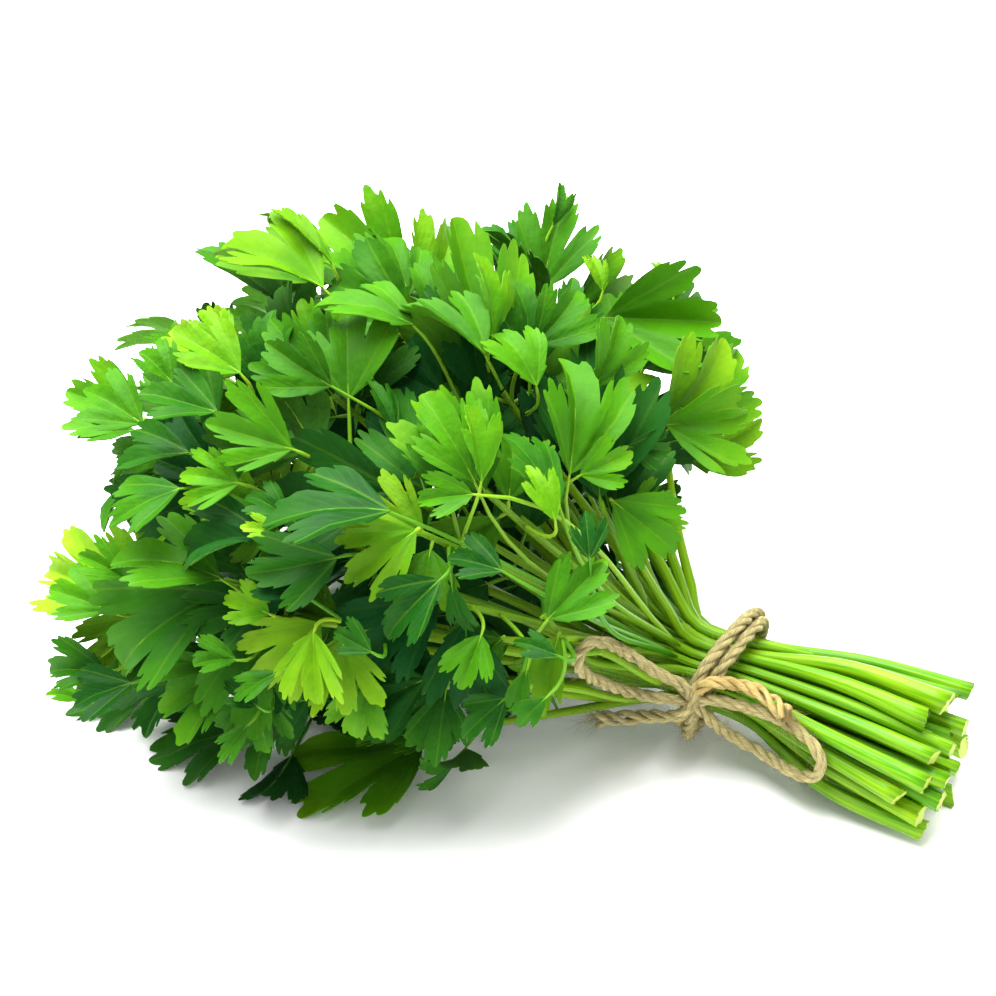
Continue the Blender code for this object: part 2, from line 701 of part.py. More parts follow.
def plan_twine(stems, radii):
    """Turns, knot and bow, laid on the stems."""
    reach = 0.0
    for line, radius in zip(stems, radii):
        reach = max(reach, max(math.hypot(p.y, p.z) + r for p, r in zip(line[2:4], radius[2:4])))
    ring = reach + TWINE_GAP + TWINE_RADIUS + 0.3
    knot_y = math.cos(KNOT_ANGLE) * (ring + KNOT_LIFT)
    knot_z = math.sin(KNOT_ANGLE) * (ring + KNOT_LIFT)
    knot = Vector((TURN_SLOPE[0] * knot_y + TURN_SLOPE[1] * knot_z, knot_y, knot_z))
    knot_out = knot.dot(OUT)
    knot_across, knot_up = as_shown(knot)
    routes = {
        "twine_loop_left": BOW_LEFT,
        "twine_loop_right": BOW_RIGHT,
        "twine_tail_left": TAIL_LEFT,
        "twine_tail_right": TAIL_RIGHT,
    }
    turns = [turn_line(ring, side) for side in (-0.5, 0.5)]
    lines = list(stems) + turns
    line_radii = [list(r) for r in radii] + [[TWINE_RADIUS] * len(turn) for turn in turns]
    cords = {}
    for name, route in routes.items():
        first, last = BOW_ENDS[name]
        flat = [knot_exit(knot_across, knot_up, first)] + list(route)
        if last is not None:
            flat.append(knot_exit(knot_across, knot_up, last))
        flat = smooth_line([Vector((across, up, 0.0)) for across, up in flat], 3.0)
        deepest = knot_out - (TAIL_SINK if last is None else LOOP_SINK)
        rest = [clear_depth(p.x, p.y, lines, line_radii, BOW_NEAREST, deepest) for p in flat]
        rest[0] = max(rest[0], knot_out)
        if last is not None:
            rest[-1] = max(rest[-1], knot_out)
        depths = list(rest)
        for _ in range(12):
            after = depths[1:] + [depths[-1]]
            before = [depths[0]] + depths[:-1]
            depths = [max(r, (p + q) * 0.5) for r, p, q in zip(rest, before, after)]
        line = smooth_line([show_point(p.x, p.y, d) for p, d in zip(flat, depths)], CORD_STEP)
        lift_clear(line, lines, line_radii)
        cords[name] = line
        lines.append(line)
        line_radii.append([TWINE_RADIUS] * len(line))
    return SimpleNamespace(ring=ring, knot=knot, cords=cords)


# Making the objects

def cover(made, colour, roughness):
    """The object's own material."""
    colour = (*colour, 1.0)
    skin = bpy.data.materials.new(made.name)
    skin.use_nodes = True
    shader = skin.node_tree.nodes["Principled BSDF"]
    shader.inputs["Base Color"].default_value = colour
    shader.inputs["Roughness"].default_value = roughness
    shader.inputs["Metallic"].default_value = 0.0
    skin.diffuse_color = colour
    made.data.materials.clear()
    made.data.materials.append(skin)


def placed_object(name, mesh, collection):
    made = bpy.data.objects.new(name, mesh)
    collection.objects.link(made)
    return made


def tube_object(name, line, radii, resolution, collection):
    """A round tube along a line, with its ends closed."""
    curve = bpy.data.curves.new(name, "CURVE")
    curve.dimensions = "3D"
    curve.bevel_depth = MM
    curve.bevel_resolution = resolution
    curve.use_fill_caps = True
    spline = curve.splines.new("POLY")
    spline.points.add(len(line) - 1)
    for point, place, radius in zip(spline.points, line, radii):
        point.co = (place.x * MM, place.y * MM, (place.z + TIE_HEIGHT) * MM, 1.0)
        point.radius = radius
    return placed_object(name, curve, collection)


def tube_as_mesh(made):
    """The tube turned into one closed mesh object."""
    bpy.context.view_layer.update()
    depsgraph = bpy.context.evaluated_depsgraph_get()
    mesh = bpy.data.meshes.new_from_object(made.evaluated_get(depsgraph))
    bm = bmesh.new()
    bm.from_mesh(mesh)
    bmesh.ops.remove_doubles(bm, verts=bm.verts[:], dist=0.00001)
    bmesh.ops.triangulate(bm, faces=bm.faces[:])
    bmesh.ops.recalc_face_normals(bm, faces=bm.faces[:])
    bm.to_mesh(mesh)
    bm.free()
    solid = bpy.data.objects.new(made.name, mesh)
    solid.matrix_world = made.matrix_world
    made.users_collection[0].objects.link(solid)
    curve = made.data
    name = made.name
    bpy.data.objects.remove(made)
    bpy.data.curves.remove(curve)
    solid.name = name
    mesh.name = name
    return solid


def join_into(base, tools):
    """One Boolean union of everything in a collection, applied."""
    union = base.modifiers.new("union", "BOOLEAN")
    union.operation = "UNION"
    union.operand_type = "COLLECTION"
    union.collection = tools
    union.solver = "EXACT"
    bpy.context.view_layer.update()
    depsgraph = bpy.context.evaluated_depsgraph_get()
    mesh = bpy.data.meshes.new_from_object(base.evaluated_get(depsgraph))
    base.modifiers.clear()
    base.data = mesh
    for tool in list(tools.objects):
        bpy.data.objects.remove(tool)


def plane_underside(solid):
    """Flat spot where a stem rests: what would reach under the surface is cut away."""
    bm = bmesh.new()
    bm.from_mesh(solid.data)
    if min(vert.co.z for vert in bm.verts) < 0.0:
        geometry = bm.verts[:] + bm.edges[:] + bm.faces[:]
        cut = bmesh.ops.bisect_plane(
            bm, geom=geometry, dist=0.000001, plane_co=(0, 0, 0), plane_no=(0, 0, -1), clear_outer=True,
        )
        rim = [item for item in cut["geom_cut"] if isinstance(item, bmesh.types.BMEdge)]
        bmesh.ops.holes_fill(bm, edges=rim)
        bmesh.ops.recalc_face_normals(bm, faces=bm.faces[:])
        bm.to_mesh(solid.data)
    bm.free()


def leaf_colour(youth):
    if youth < 0.5:
        start, end, share = OLD_COLOUR, GROWN_COLOUR, youth * 2.0
    else:
        start, end, share = GROWN_COLOUR, YOUNG_COLOUR, youth * 2.0 - 1.0
    return [a + (b - a) * share for a, b in zip(start, end)]


def make_stalk(name, stalk, templates, collection, tools):
    solid = tube_as_mesh(tube_object(name, stalk.line, stalk.radii, 1, collection))
    for leaf in stalk.leaves:
        bm = templates[leaf.cut].copy()
        bend_blade(bm, leaf, BLADE_THICKNESS)
        bmesh.ops.translate(bm, verts=bm.verts[:], vec=(0.0, 0.0, TIE_HEIGHT))
        bmesh.ops.scale(bm, verts=bm.verts[:], vec=(MM, MM, MM))
        mesh = bpy.data.meshes.new("leaflet")
        bm.to_mesh(mesh)
        bm.free()
        placed_object("leaflet", mesh, tools)
    if stalk.leaves:
        join_into(solid, tools)
    plane_underside(solid)
    cover(solid, leaf_colour(stalk.youth), 0.45)


def make_tie(twine, collection, tools):
    """Two turns of twine round the bundle, and the knot."""
    turns = []
    for side in (-0.5, 0.5):
        bpy.ops.mesh.primitive_torus_add(
            major_segments=TURN_STEPS, minor_segments=6,
            major_radius=twine.ring * MM, minor_radius=TWINE_RADIUS * MM,
        )
        turn = bpy.context.object
        lean = Matrix.Identity(4)
        lean[0][1], lean[0][2] = TURN_SLOPE
        stand = Matrix.Rotation(math.pi / 2, 4, "Y")
        place = Matrix.Translation((side * TURN_SPACING * MM, 0.0, TIE_HEIGHT * MM))
        turn.data.transform(place @ lean @ stand)
        turns.append(turn)
    bpy.ops.mesh.primitive_ico_sphere_add(subdivisions=2, radius=KNOT_RADIUS * MM)
    knot = bpy.context.object
    knot.data.transform(Matrix.Translation((twine.knot + Vector((0, 0, TIE_HEIGHT))) * MM))
    for made in turns + [knot]:
        for home in list(made.users_collection):
            home.objects.unlink(made)
    tie = turns[0]
    tie.name = "twine_tie"
    tie.data.name = "twine_tie"
    collection.objects.link(tie)
    tools.objects.link(turns[1])
    tools.objects.link(knot)
    join_into(tie, tools)
    cover(tie, TWINE_COLOUR, 0.9)


def rest_origin_in_middle(collection, free_names):
    """Everything moved so that the origin is under the middle of the bunch."""
    low = Vector((1e9, 1e9, 1e9))
    high = -low
    for made in collection.objects:
        if made.name in free_names:
            continue
        for vert in made.data.vertices:
            for i in range(3):
                low[i] = min(low[i], vert.co[i])
                high[i] = max(high[i], vert.co[i])
    shift = Vector((-(low.x + high.x) / 2, -(low.y + high.y) / 2, -low.z))
    for made in collection.objects:
        if made.type == "MESH":
            made.data.transform(Matrix.Translation(shift))
        else:
            made.location = shift
    return shift


def main():
    for made in list(bpy.data.objects):
        bpy.data.objects.remove(made)
    collection = bpy.data.collections.new("leaf_celery_bunch")
    tools = bpy.data.collections.new("leaflets_to_join")
    bpy.context.scene.collection.children.link(collection)
    bpy.context.scene.collection.children.link(tools)

    stalks, twine, templates = plan_bunch()
    for number, stalk in enumerate(stalks, start=1):
        make_stalk(f"stalk_{number:02d}", stalk, templates, collection, tools)
    make_tie(twine, collection, tools)
    for name, line in twine.cords.items():
        cord = tube_object(name, line, [TWINE_RADIUS] * len(line), 1, collection)
        cover(cord, TWINE_COLOUR, 0.9)
    rest_origin_in_middle(collection, set(twine.cords))
    bpy.data.collections.remove(tools)
    for template in templates.values():
        template.free()


if __name__ == "__main__":
    main()
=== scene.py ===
import math
import random
from types import SimpleNamespace

import bmesh
import bpy
import numpy as np
from mathutils import Matrix, Vector
from mathutils.bvhtree import BVHTree
from mathutils.noise import noise


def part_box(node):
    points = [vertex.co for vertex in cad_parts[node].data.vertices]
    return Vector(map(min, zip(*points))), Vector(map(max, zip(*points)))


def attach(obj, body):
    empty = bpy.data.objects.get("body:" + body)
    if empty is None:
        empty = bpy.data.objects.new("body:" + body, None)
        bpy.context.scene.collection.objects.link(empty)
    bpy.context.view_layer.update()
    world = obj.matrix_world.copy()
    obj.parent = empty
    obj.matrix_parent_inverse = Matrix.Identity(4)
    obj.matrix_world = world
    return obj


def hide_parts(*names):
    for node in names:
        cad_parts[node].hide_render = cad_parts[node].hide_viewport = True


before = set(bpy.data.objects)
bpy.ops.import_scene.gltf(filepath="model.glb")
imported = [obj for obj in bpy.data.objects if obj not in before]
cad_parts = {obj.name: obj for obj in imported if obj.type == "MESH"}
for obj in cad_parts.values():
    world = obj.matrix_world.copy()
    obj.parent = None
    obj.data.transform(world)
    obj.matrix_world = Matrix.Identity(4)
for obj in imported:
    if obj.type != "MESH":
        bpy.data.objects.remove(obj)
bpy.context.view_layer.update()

# Lengths are in millimetres, turned into metres where a mesh is placed. Places are measured
# from the middle of the tie: +X runs along the bunch to its cut ends, +Y to the back, +Z up.
# The bunch is planned as in the part's own source, so that each finer piece keeps its place.

MM = 0.001
SEED = 11

# Bundle
TIE_HEIGHT = 25.0
TIE_REACH = 10.0
STEM_GAP = 0.4
STEM_RADIUS_AT_TIE = (1.25, 1.8)
STEM_RADIUS_AT_CUT = (2.0, 3.0)
STEM_RADIUS_AT_LEAF = 0.85
STEM_SIDES = 6
STEM_FLATTENED = 0.78
CUT_DISTANCE = (60.0, 76.0)
CUT_OVAL = (27.0, 16.0)
CUT_HEIGHT = 17.5
CUT_SIDE = -5.0
STRAY_CUT = Vector((63.0, 18.0, 1.5))
STRAY_RADIUS = 1.6

# Twine
TWINE_RADIUS = 1.9
TURN_SPACING = 3.9
TURN_SLOPE = (0.20, 0.34)
TURN_STEPS = 18
TWINE_GAP = 0.45
KNOT_ANGLE = math.radians(170)
KNOT_LIFT = 2.2
KNOT_RADIUS = 4.4
KNOT_GAP = 1.6
BOW_GAP = 0.9
BOW_NEAREST = 45.0
LOOP_SINK = 12.0
TAIL_SINK = 9.0
CORD_STEP = 7.0

# Leaf head: its leaflets start on this oval, and reach out of it
HEAD_CENTRE = Vector((-110.0, 0.0, 20.0))
HEAD_HALF = Vector((95.0, 85.0, 72.0))

# Blades
BLADE_THICKNESS = 0.7
BLADE_GAP = 0.35
STALKLET_HALF = 0.02
ROOT_DEPTH = 1.6
LOW_SETTLING = 5.0
POSES_TRIED = 60

# The side that the bunch shows: leaflets there are set out across and up, as seen from here
SHOW_AZIMUTH = math.radians(22)
SHOW_ELEVATION = math.radians(35)
SHOW_DISTANCE = 715.0
SHOW_CENTRE = (-68.0, 53.0)
ACROSS = Vector((math.cos(SHOW_AZIMUTH), math.sin(SHOW_AZIMUTH), 0.0))
OUT = Vector((
    math.sin(SHOW_AZIMUTH) * math.cos(SHOW_ELEVATION),
    -math.cos(SHOW_AZIMUTH) * math.cos(SHOW_ELEVATION),
    math.sin(SHOW_ELEVATION),
))
UP = OUT.cross(ACROSS)

# Outlines of one half of a blade: angle off the rib and reach, as a share of the length
CUTS = {
    "broad": ((0, 1.00), (9, 0.88), (18, 0.62), (33, 0.88), (48, 0.70)),
    "parted": ((0, 1.00), (10, 0.86), (19, 0.55), (36, 0.92), (48, 0.64)),
    "slim": ((0, 1.00), (7, 0.86), (14, 0.62), (25, 0.76), (35, 0.52)),
}
RIB_POINT = 0.36

# Leading leaflets of the stalks on the side that shows: start (across, up), tip (across, up),
# how far it stands proud of the head's oval, lean towards the viewer and roll in degrees,
# youth from 0 (old and deep green) to 1 (young and lime), and cut
SHOW_LEAVES = (
    (-72, 55, -90, 87, 14, 8, 0, 0.72, "broad"),
    (-122, 15, -146, -6, 14, 5, 0, 0.98, "parted"),
    (-93, 43, -117, 27, 20, 5, 0, 0.92, "parted"),
    (-98, 55, -143, 52, 10, 0, 0, 0.15, "broad"),
    (-153, 25, -193, 3, 8, 0, 10, 0.42, "broad"),
    (-53, 17, -34, 35, 8, 10, 0, 0.55, "broad"),
    (-37, 52, -40, 103, 4, -5, 10, 0.20, "broad"),
    (-128, 67, -159, 75, 10, 0, 180, 0.60, "broad"),
    (-86, 22, -123, 10, 12, 0, -10, 0.05, "broad"),
    (-113, 34, -145, 24, 6, 0, 10, 0.08, "broad"),
    (-118, 84, -138, 109, 6, 0, 0, 0.35, "broad"),
    (-119, 118, -153, 138, 0, 0, 20, 0.75, "slim"),
    (-97, 116, -122, 141, 2, 5, 0, 0.70, "broad"),
    (-71, 92, -79, 139, 4, 0, 30, 0.68, "broad"),
    (-55, 116, -47, 149, 0, 0, 0, 0.50, "broad"),
    (-30, 94, 1, 117, 0, -5, 15, 0.40, "broad"),
    (-17, 74, 9, 100, 0, 0, 10, 0.68, "broad"),
    (-49, 97, -45, 122, 2, 10, 0, 0.18, "broad"),
    (-181, 22, -210, 34, 0, 0, 0, 0.95, "broad"),
    (-151, 28, -187, 40, 4, 0, 10, 0.38, "broad"),
    (-176, 77, -201, 87, -4, 0, 0, 0.66, "broad"),
    (-153, 77, -177, 101, 0, 0, 10, 0.35, "broad"),
    (-145, 91, -170, 107, -2, 5, 0, 0.88, "broad"),
    (-141, 51, -165, 61, 6, 5, 0, 0.86, "parted"),
    (-154, 56, -190, 46, -2, 0, 0, 0.12, "broad"),
    (-118, 125, -136, 146, -4, 0, 70, 0.70, "slim"),
    (-94, 106, -124, 124, 3, 5, 0, 0.36, "broad"),
    (-61, 120, -71, 141, -4, 0, 20, 0.30, "slim"),
    (-33, 52, -12, 36, 6, 0, 0, 0.55, "broad"),
    (-84, 84, -111, 98, 0, 0, 0, 0.14, "broad"),
    (-148, 2, -174, -11, 0, 0, 10, 0.62, "parted"),
    (-67, 10, -84, -5, 6, 5, 0, 0.62, "broad"),
    (-54, 12, -61, -13, 4, 5, 20, 0.78, "slim"),
    (-90, -2, -115, -13, 0, 0, 0, 0.30, "broad"),
)

# Stalks of the show side whose pair of leaflets is given here: tips (across, up), or none
SHOW_PAIRS = {
    0: ((-95, 41), (-62, 76)),
    5: (),
    6: ((-22, 78), (-56, 84)),
    16: ((12, 78),),
    28: ((-10, 55),),
    31: ((-88, 12),),
    32: ((-74, 2),),
    34: ((-116, -35),),
}

# Leading leaflets that lie low: start and tip, with heights above the surface, youth and cut
LOW_LEAVES = (
    # The first of these has a higher youth, a lighter tone painted in as light where it lies in the head's shadow
    (-79, -45, 10, -104, -82, 3, 0.60, "broad"),
    (-131, -55, 9, -158, -77, 3, 0.10, "broad"),
    (-168, -48, 9, -193, -68, 3, 0.12, "broad"),
    (-140, 40, 9, -170, 62, 3, 0.25, "broad"),
    (-85, 48, 10, -108, 80, 3, 0.30, "broad"),
)

# Leading leaflets at the back, by their place on the head's oval: distance from the tie,
# angle round the bunch from the back (90 is the top), youth
BACK_LEAVES = (
    (-160, 60, 0.40),
    (-165, 20, 0.25),
    (-120, 75, 0.55),
    (-125, 40, 0.30),
    (-130, 8, 0.15),
    (-80, 60, 0.35),
    (-85, 25, 0.20),
    (-190, 38, 0.60),
)

# Twine bow, as it shows: across and up
BOW_LEFT = (
    (-20, 0), (-28, 5.5), (-35.5, 9), (-41.5, 8.8), (-44.5, 4.5),
    (-42, 0), (-36, -3.2), (-28, -6), (-20.5, -7.6),
)
BOW_RIGHT = (
    (0, -17.5), (8, -22), (17, -27.5), (24, -31.5), (29.5, -31.5),
    (30.5, -26.5), (26.5, -20.5), (20, -15.5), (12, -12), (3, -9.5),
)
TAIL_LEFT = ((-20.5, -13.2), (-28, -13.8), (-38, -14.2))
TAIL_RIGHT = ((0, -3.2), (7, -4), (13, -7), (20, -13))
BOW_ENDS = {
    "twine_loop_left": (128, 180),
    "twine_loop_right": (-52, 0),
    "twine_tail_left": (238, None),
    "twine_tail_right": (56, None),
}

# Leaflets laid over the planted ones: start and tip as they show in the photo, counted in its
# pixels, then lean towards the viewer and roll in degrees, youth and cut
PIXEL = 0.304
TIE_PIXEL = (722, 672)
# Youth is raised for leaflets towards the top and the right, a lighter tone that is partly painted light where the
# light falls on them
LAID_LEAVES = (
    (674, 296, 662, 252, 0, 40, 0.80, "slim"),
    (603, 292, 597, 245, 0, 30, 0.77, "slim"),
    (545, 284, 567, 232, 0, 20, 0.60, "broad"),
    (553, 226, 565, 182, 0, 50, 0.42, "slim"),
    (536, 290, 547, 194, 0, 40, 0.60, "broad"),
    (527, 288, 487, 208, 0, 55, 0.45, "broad"),
    (333, 264, 280, 197, 0, 65, 0.82, "slim"),
    (324, 288, 222, 219, 0, 45, 0.82, "broad"),
    (402, 290, 326, 212, 0, 15, 0.82, "broad"),
    (414, 325, 316, 271, 0, 40, 0.56, "broad"),
    (486, 355, 412, 273, 0, 45, 0.52, "broad"),
    (491, 345, 498, 248, 0, 65, 0.72, "slim"),
    (535, 345, 592, 284, 0, 20, 0.46, "broad"),
    (535, 355, 512, 264, 0, 40, 0.62, "broad"),
    (488, 355, 463, 215, 0, 48, 0.85, "broad"),
    (290, 312, 219, 294, 0, 45, 0.08, "broad"),
    (268, 362, 230, 330, 0, 10, 0.10, "broad"),
    (229, 348, 203, 304, 0, 20, 0.76, "broad"),
    (241, 373, 173, 323, 0, 20, 0.76, "broad"),
    (172, 382, 139, 341, 0, 20, 0.50, "parted"),
    (218, 412, 138, 388, 0, 30, 0.36, "broad"),
    (332, 386, 262, 343, 5, -20, 0.38, "broad"),
    (400, 366, 321, 338, 5, 40, 0.44, "broad"),
    (482, 386, 397, 336, 5, 35, 0.48, "broad"),
    (396, 432, 374, 372, 0, 40, 0.20, "slim"),
    (143, 424, 78, 377, 0, 10, 0.54, "parted"),
    (136, 430, 75, 433, 0, 30, 0.42, "slim"),
    (190, 453, 97, 455, 0, 40, 0.24, "broad"),
    (207, 442, 136, 428, 5, 40, 0.36, "broad"),
    (270, 538, 172, 529, 0, 45, 0.05, "broad"),
    (181, 488, 101, 517, 0, 35, 0.32, "broad"),
    (293, 449, 206, 421, 8, 0, 0.58, "parted"),
    (240, 483, 178, 471, 8, 0, 0.64, "parted"),
    (537, 386, 503, 318, 0, 30, 0.54, "broad"),
    (570, 474, 585, 346, 0, 30, 0.58, "broad"),
    (596, 386, 629, 318, 5, 40, 0.56, "broad"),
    (627, 446, 672, 451, 0, 20, 0.17, "broad"),
    (664, 422, 749, 349, 5, 45, 0.80, "broad"),
    (666, 424, 754, 420, 5, 30, 0.74, "parted"),
    (605, 317, 722, 322, 5, 10, 0.58, "broad"),
    (560, 506, 511, 421, 0, 45, 0.34, "broad"),
    (580, 475, 638, 452, 8, 15, 0.64, "broad"),
    (482, 482, 475, 403, 5, 50, 0.62, "slim"),
    (474, 494, 413, 498, 6, 0, 0.58, "broad"),
    (475, 482, 429, 389, 8, 15, 0.62, "broad"),
    (556, 521, 533, 459, 5, 20, 0.68, "slim"),
    (503, 571, 447, 549, 0, 20, 0.10, "broad"),
    (564, 562, 473, 509, 5, 52, 0.20, "broad"),
    (590, 559, 586, 509, 5, 0, 0.00, "broad"),
    (391, 511, 257, 493, 5, 42, 0.12, "broad"),
    (283, 535, 240, 519, 8, 20, 0.88, "slim"),
    (132, 683, 65, 701, 0, 20, 0.05, "broad"),
    (106, 671, 37, 664, 0, 10, 0.36, "broad"),
    (85, 700, 44, 689, 0, 30, 0.55, "slim"),
    (140, 690, 100, 728, 0, 20, 0.05, "broad"),
    (125, 577, 77, 549, 5, 10, 0.58, "parted"),
    (109, 610, 44, 581, 5, 10, 0.56, "broad"),
    (102, 656, 70, 698, 5, 30, 0.62, "slim"),
    (221, 578, 112, 534, 8, 35, 0.48, "broad"),
    (223, 586, 92, 642, 10, -30, 0.42, "broad"),
    (338, 557, 247, 577, 8, -25, 0.16, "broad"),
    (270, 614, 223, 593, 8, 0, 0.85, "broad"),
    (441, 579, 373, 638, 5, 10, 0.12, "broad"),
    (452, 583, 462, 641, 8, 30, 0.16, "slim"),
    (231, 711, 152, 759, 0, 10, 0.08, "broad"),
    (249, 724, 214, 761, 5, 20, 0.32, "slim"),
    (297, 683, 262, 741, 5, 10, 0.14, "broad"),
    (237, 660, 190, 658, 5, 20, 0.36, "broad"),
    (279, 672, 227, 695, 5, 20, 0.32, "slim"),
    (235, 666, 161, 707, 5, 10, 0.48, "broad"),
    (445, 706, 322, 790, 0, 15, 0.26, "broad"),
    (440, 687, 349, 712, 8, 40, 0.54, "broad"),
    (482, 634, 461, 690, 8, 0, 0.62, "broad"),
    (528, 668, 514, 724, 0, 30, 0.52, "slim"),
    (568, 676, 546, 690, 0, 20, 0.50, "slim"),
    (548, 619, 603, 561, 8, 0, 0.48, "broad"),
    (402, 533, 346, 566, 8, 0, 1.00, "parted"),
    (313, 626, 212, 650, 8, 20, 0.90, "broad"),
    (314, 631, 311, 706, 8, 20, 0.96, "parted"),
    (288, 516, 246, 490, 0, 20, 0.12, "broad"),
    (258, 706, 224, 680, 0, 0, 0.10, "broad"),
    (300, 592, 248, 562, 0, 0, 0.10, "broad"),
    (372, 652, 330, 628, 0, 0, 0.10, "broad"),
    (560, 656, 512, 636, 0, 10, 0.10, "slim"),
    (506, 698, 458, 738, 0, 10, 0.15, "broad"),
    (548, 696, 512, 728, 0, 10, 0.30, "slim"),
)
# The same for dark leaflets on the far side of the stems
BEHIND_LEAVES = (
    (570, 606, 504, 578, 0, 0, 0.10, "broad"),
    (530, 612, 484, 572, 0, 0, 0.10, "broad"),
    (560, 492, 540, 448, 0, 0, 0.10, "broad"),
    (672, 560, 640, 520, 0, 0, 0.12, "broad"),
    (612, 640, 545, 612, 0, 0, 0.08, "broad"),
    (596, 560, 540, 528, 0, 0, 0.10, "broad"),
    (588, 510, 560, 462, 0, 0, 0.10, "broad"),
    (690, 612, 640, 558, 0, 0, 0.12, "slim"),
    (640, 590, 600, 540, 0, 0, 0.10, "broad"),
    (540, 690, 480, 660, 0, 0, 0.08, "broad"),
    (500, 590, 440, 600, 0, 0, 0.08, "broad"),
    (512, 640, 470, 614, 0, 0, 0.08, "broad"),
    (582, 496, 568, 466, 0, 0, 0.10, "slim"),
    (616, 570, 598, 538, 0, 0, 0.10, "slim"),
)
# Leaflets that hang under the head, where no stem lies low: start and tip, with heights above
# the surface, youth and cut
UNDER_LEAVES = (
    (-126, -24, 62, -148, -30, 44, 0.14, "broad"),
    (-124, 0, 60, -148, 0, 40, 0.10, "parted"),
    (-124, 22, 58, -146, 28, 38, 0.20, "broad"),
    (-120, 42, 56, -142, 52, 36, 0.12, "broad"),
    (-128, -34, 44, -150, -42, 24, 0.10, "broad"),
    (-130, -12, 44, -154, -14, 22, 0.24, "broad"),
    (-130, 10, 42, -154, 12, 20, 0.12, "broad"),
    (-126, 32, 42, -150, 38, 20, 0.08, "parted"),
    (-118, 52, 40, -138, 64, 20, 0.16, "broad"),
    (-120, -22, 28, -144, -26, 6, 0.08, "broad"),
    (-122, 0, 28, -146, 0, 6, 0.12, "broad"),
    (-122, 22, 26, -146, 26, 5, 0.10, "broad"),
    (-114, 42, 24, -136, 50, 5, 0.14, "broad"),
    (-94, -8, 38, -112, -10, 14, 0.08, "broad"),
    (-94, 12, 36, -112, 14, 12, 0.08, "broad"),
    (-92, 32, 34, -110, 36, 12, 0.08, "broad"),
    (-100, 0, 56, -120, 0, 38, 0.08, "broad"),
    (-98, 24, 54, -118, 28, 34, 0.08, "broad"),
)
UNDER_SHIFTS = (0, -3, 3, -6, 6, -9, 9)
UNDER_FACE = Vector((-1.0, 0.0, 0.5))
LONG_STALKLETS = (
    (605, 317), (664, 422), (666, 424), (580, 475), (570, 474), (627, 446), (475, 482), (474, 494),
    (590, 559), (560, 506), (488, 355), (596, 386), (400, 366), (332, 386),
    (503, 571), (391, 511), (548, 619),
)
LONG_ROOT_SHARE = 0.13
LONG_RADIUS = 1.15
LAID_FROM = 40.0
LAID_TO = -14.0
LAID_STEP = 2.0
BEHIND_FROM = -70.0
BEHIND_TO = -6.0
STALKLET_PULL = 12.0
STALKLET_BACK = 14.0
STALKLET_DIP = 0.35
STALKLET_STEPS = 10
STALKLET_HANDLES = (0.25, 0.35)
FRONT_MOST = -114.0

# Finer blades: lobes of one half, angle off the rib and reach, and where its teeth meet. The
# notch between two lobes reaches in as far as this share of the length, drawn for each shape
OUTLINES = {
    "broad": (
        (0, 1.00), (5, 0.99), (10, 0.93), (14, 0.84), (16.4, 0.70), (18, None), (20.2, 0.68),
        (24, 0.80), (29, 0.87), (34, 0.86), (39, 0.80), (44, 0.71), (48, 0.60), (51, 0.46), (54, 0.28),
    ),
    "parted": (
        (0, 1.00), (5, 0.98), (9, 0.90), (12.5, 0.78), (14.8, 0.60), (16.2, None), (18, 0.60),
        (21, 0.82), (26, 0.93), (31, 0.93), (35, 0.86), (38.4, 0.72), (40, None), (41.8, 0.66),
        (45, 0.74), (49, 0.68), (52, 0.52), (55, 0.28),
    ),
    "slim": (
        (0, 1.00), (4, 0.98), (8, 0.88), (11.5, 0.72), (13, None), (15, 0.68),
        (19, 0.80), (24, 0.80), (29, 0.68), (34, 0.50), (38, 0.26),
    ),
}
NOTCH_REACH = {"broad": (0.46, 0.64), "parted": (0.36, 0.54), "slim": (0.48, 0.64)}
TEETH = {
    "broad": (0, 6.4, 12.8, 18.0, 26.4, 35.0, 43.5, 54.0),
    "parted": (0, 5.6, 11.0, 16.2, 24.4, 33.0, 40.0, 48.0, 55.0),
    "slim": (0, 5.0, 9.4, 13.0, 20.4, 28.0, 38.0),
}
TEETH_SHIFT = 1.3
LOBE_CHANGE = 0.12
LOBE_SWING = (0.80, 1.00)
TOOTH_DEPTH = (0.08, 0.24)
TOOTH_ROUNDNESS = 0.5
INNER_REACH = 0.72
EDGE_STEPS = 74
ALONG_BLADE = (0.0, 0.25, 0.48, 0.68, 0.86, 1.0)
LEAF_THICKNESS = 0.3
SHAPES_PER_CUT = 7
VEIN_SPREAD = math.radians(33)
CREASE = 0.07
RIPPLE = (0.015, 0.055)
CURL = (0.0, 0.60)
EXTRA_FOLD = (-0.08, 0.40)
TWIST = 0.20
PUCKER = 0.035
PUCKER_SCALE = 4.5
STALKLET_RADII = (0.72, 0.5)
RIB_RADII = (0.34, 0.10)
RIB_SINK = 0.22
RIB_REACH = 0.7
RIB_SIDES = 6
BEYOND_STEM = 300.0
GROWN = 0
STEM = 1
YOUNG = 2
YOUNG_FROM = 0.5

# Leaflets that fill the inside of the head: how far below a leading one they grow, and their size
FILL_BELOW = (20.0, 38.0, 58.0, 78.0)
FILL_FURTHEST_FORWARD = -58.0
FILL_BEHIND_FORWARD = -36.0
FILL_BEHIND_ACROSS = -30.0
# Tone of the filling leaflets behind the stems, kept dark partly as painted shade
FILL_BEHIND_YOUTH_AND_SHADE = 0.15
FILL_SIZE = (22.0, 32.0)
FILL_STALKLET = (0.35, 0.8)
FILL_POSES = 24

# Finer stems
STEM_STEP = 5.0
FINE_STEM_SIDES = 24
STEM_RIBS = 8
RIB_HEIGHT = 0.05
GUTTER_REACH = 30.0
GUTTER_DEPTH = (0.05, 0.62)
CUT_FLARE = (0.0, 0.35)
CUT_SLANT = (0.05, 0.55)
CUT_RIM = 0.22

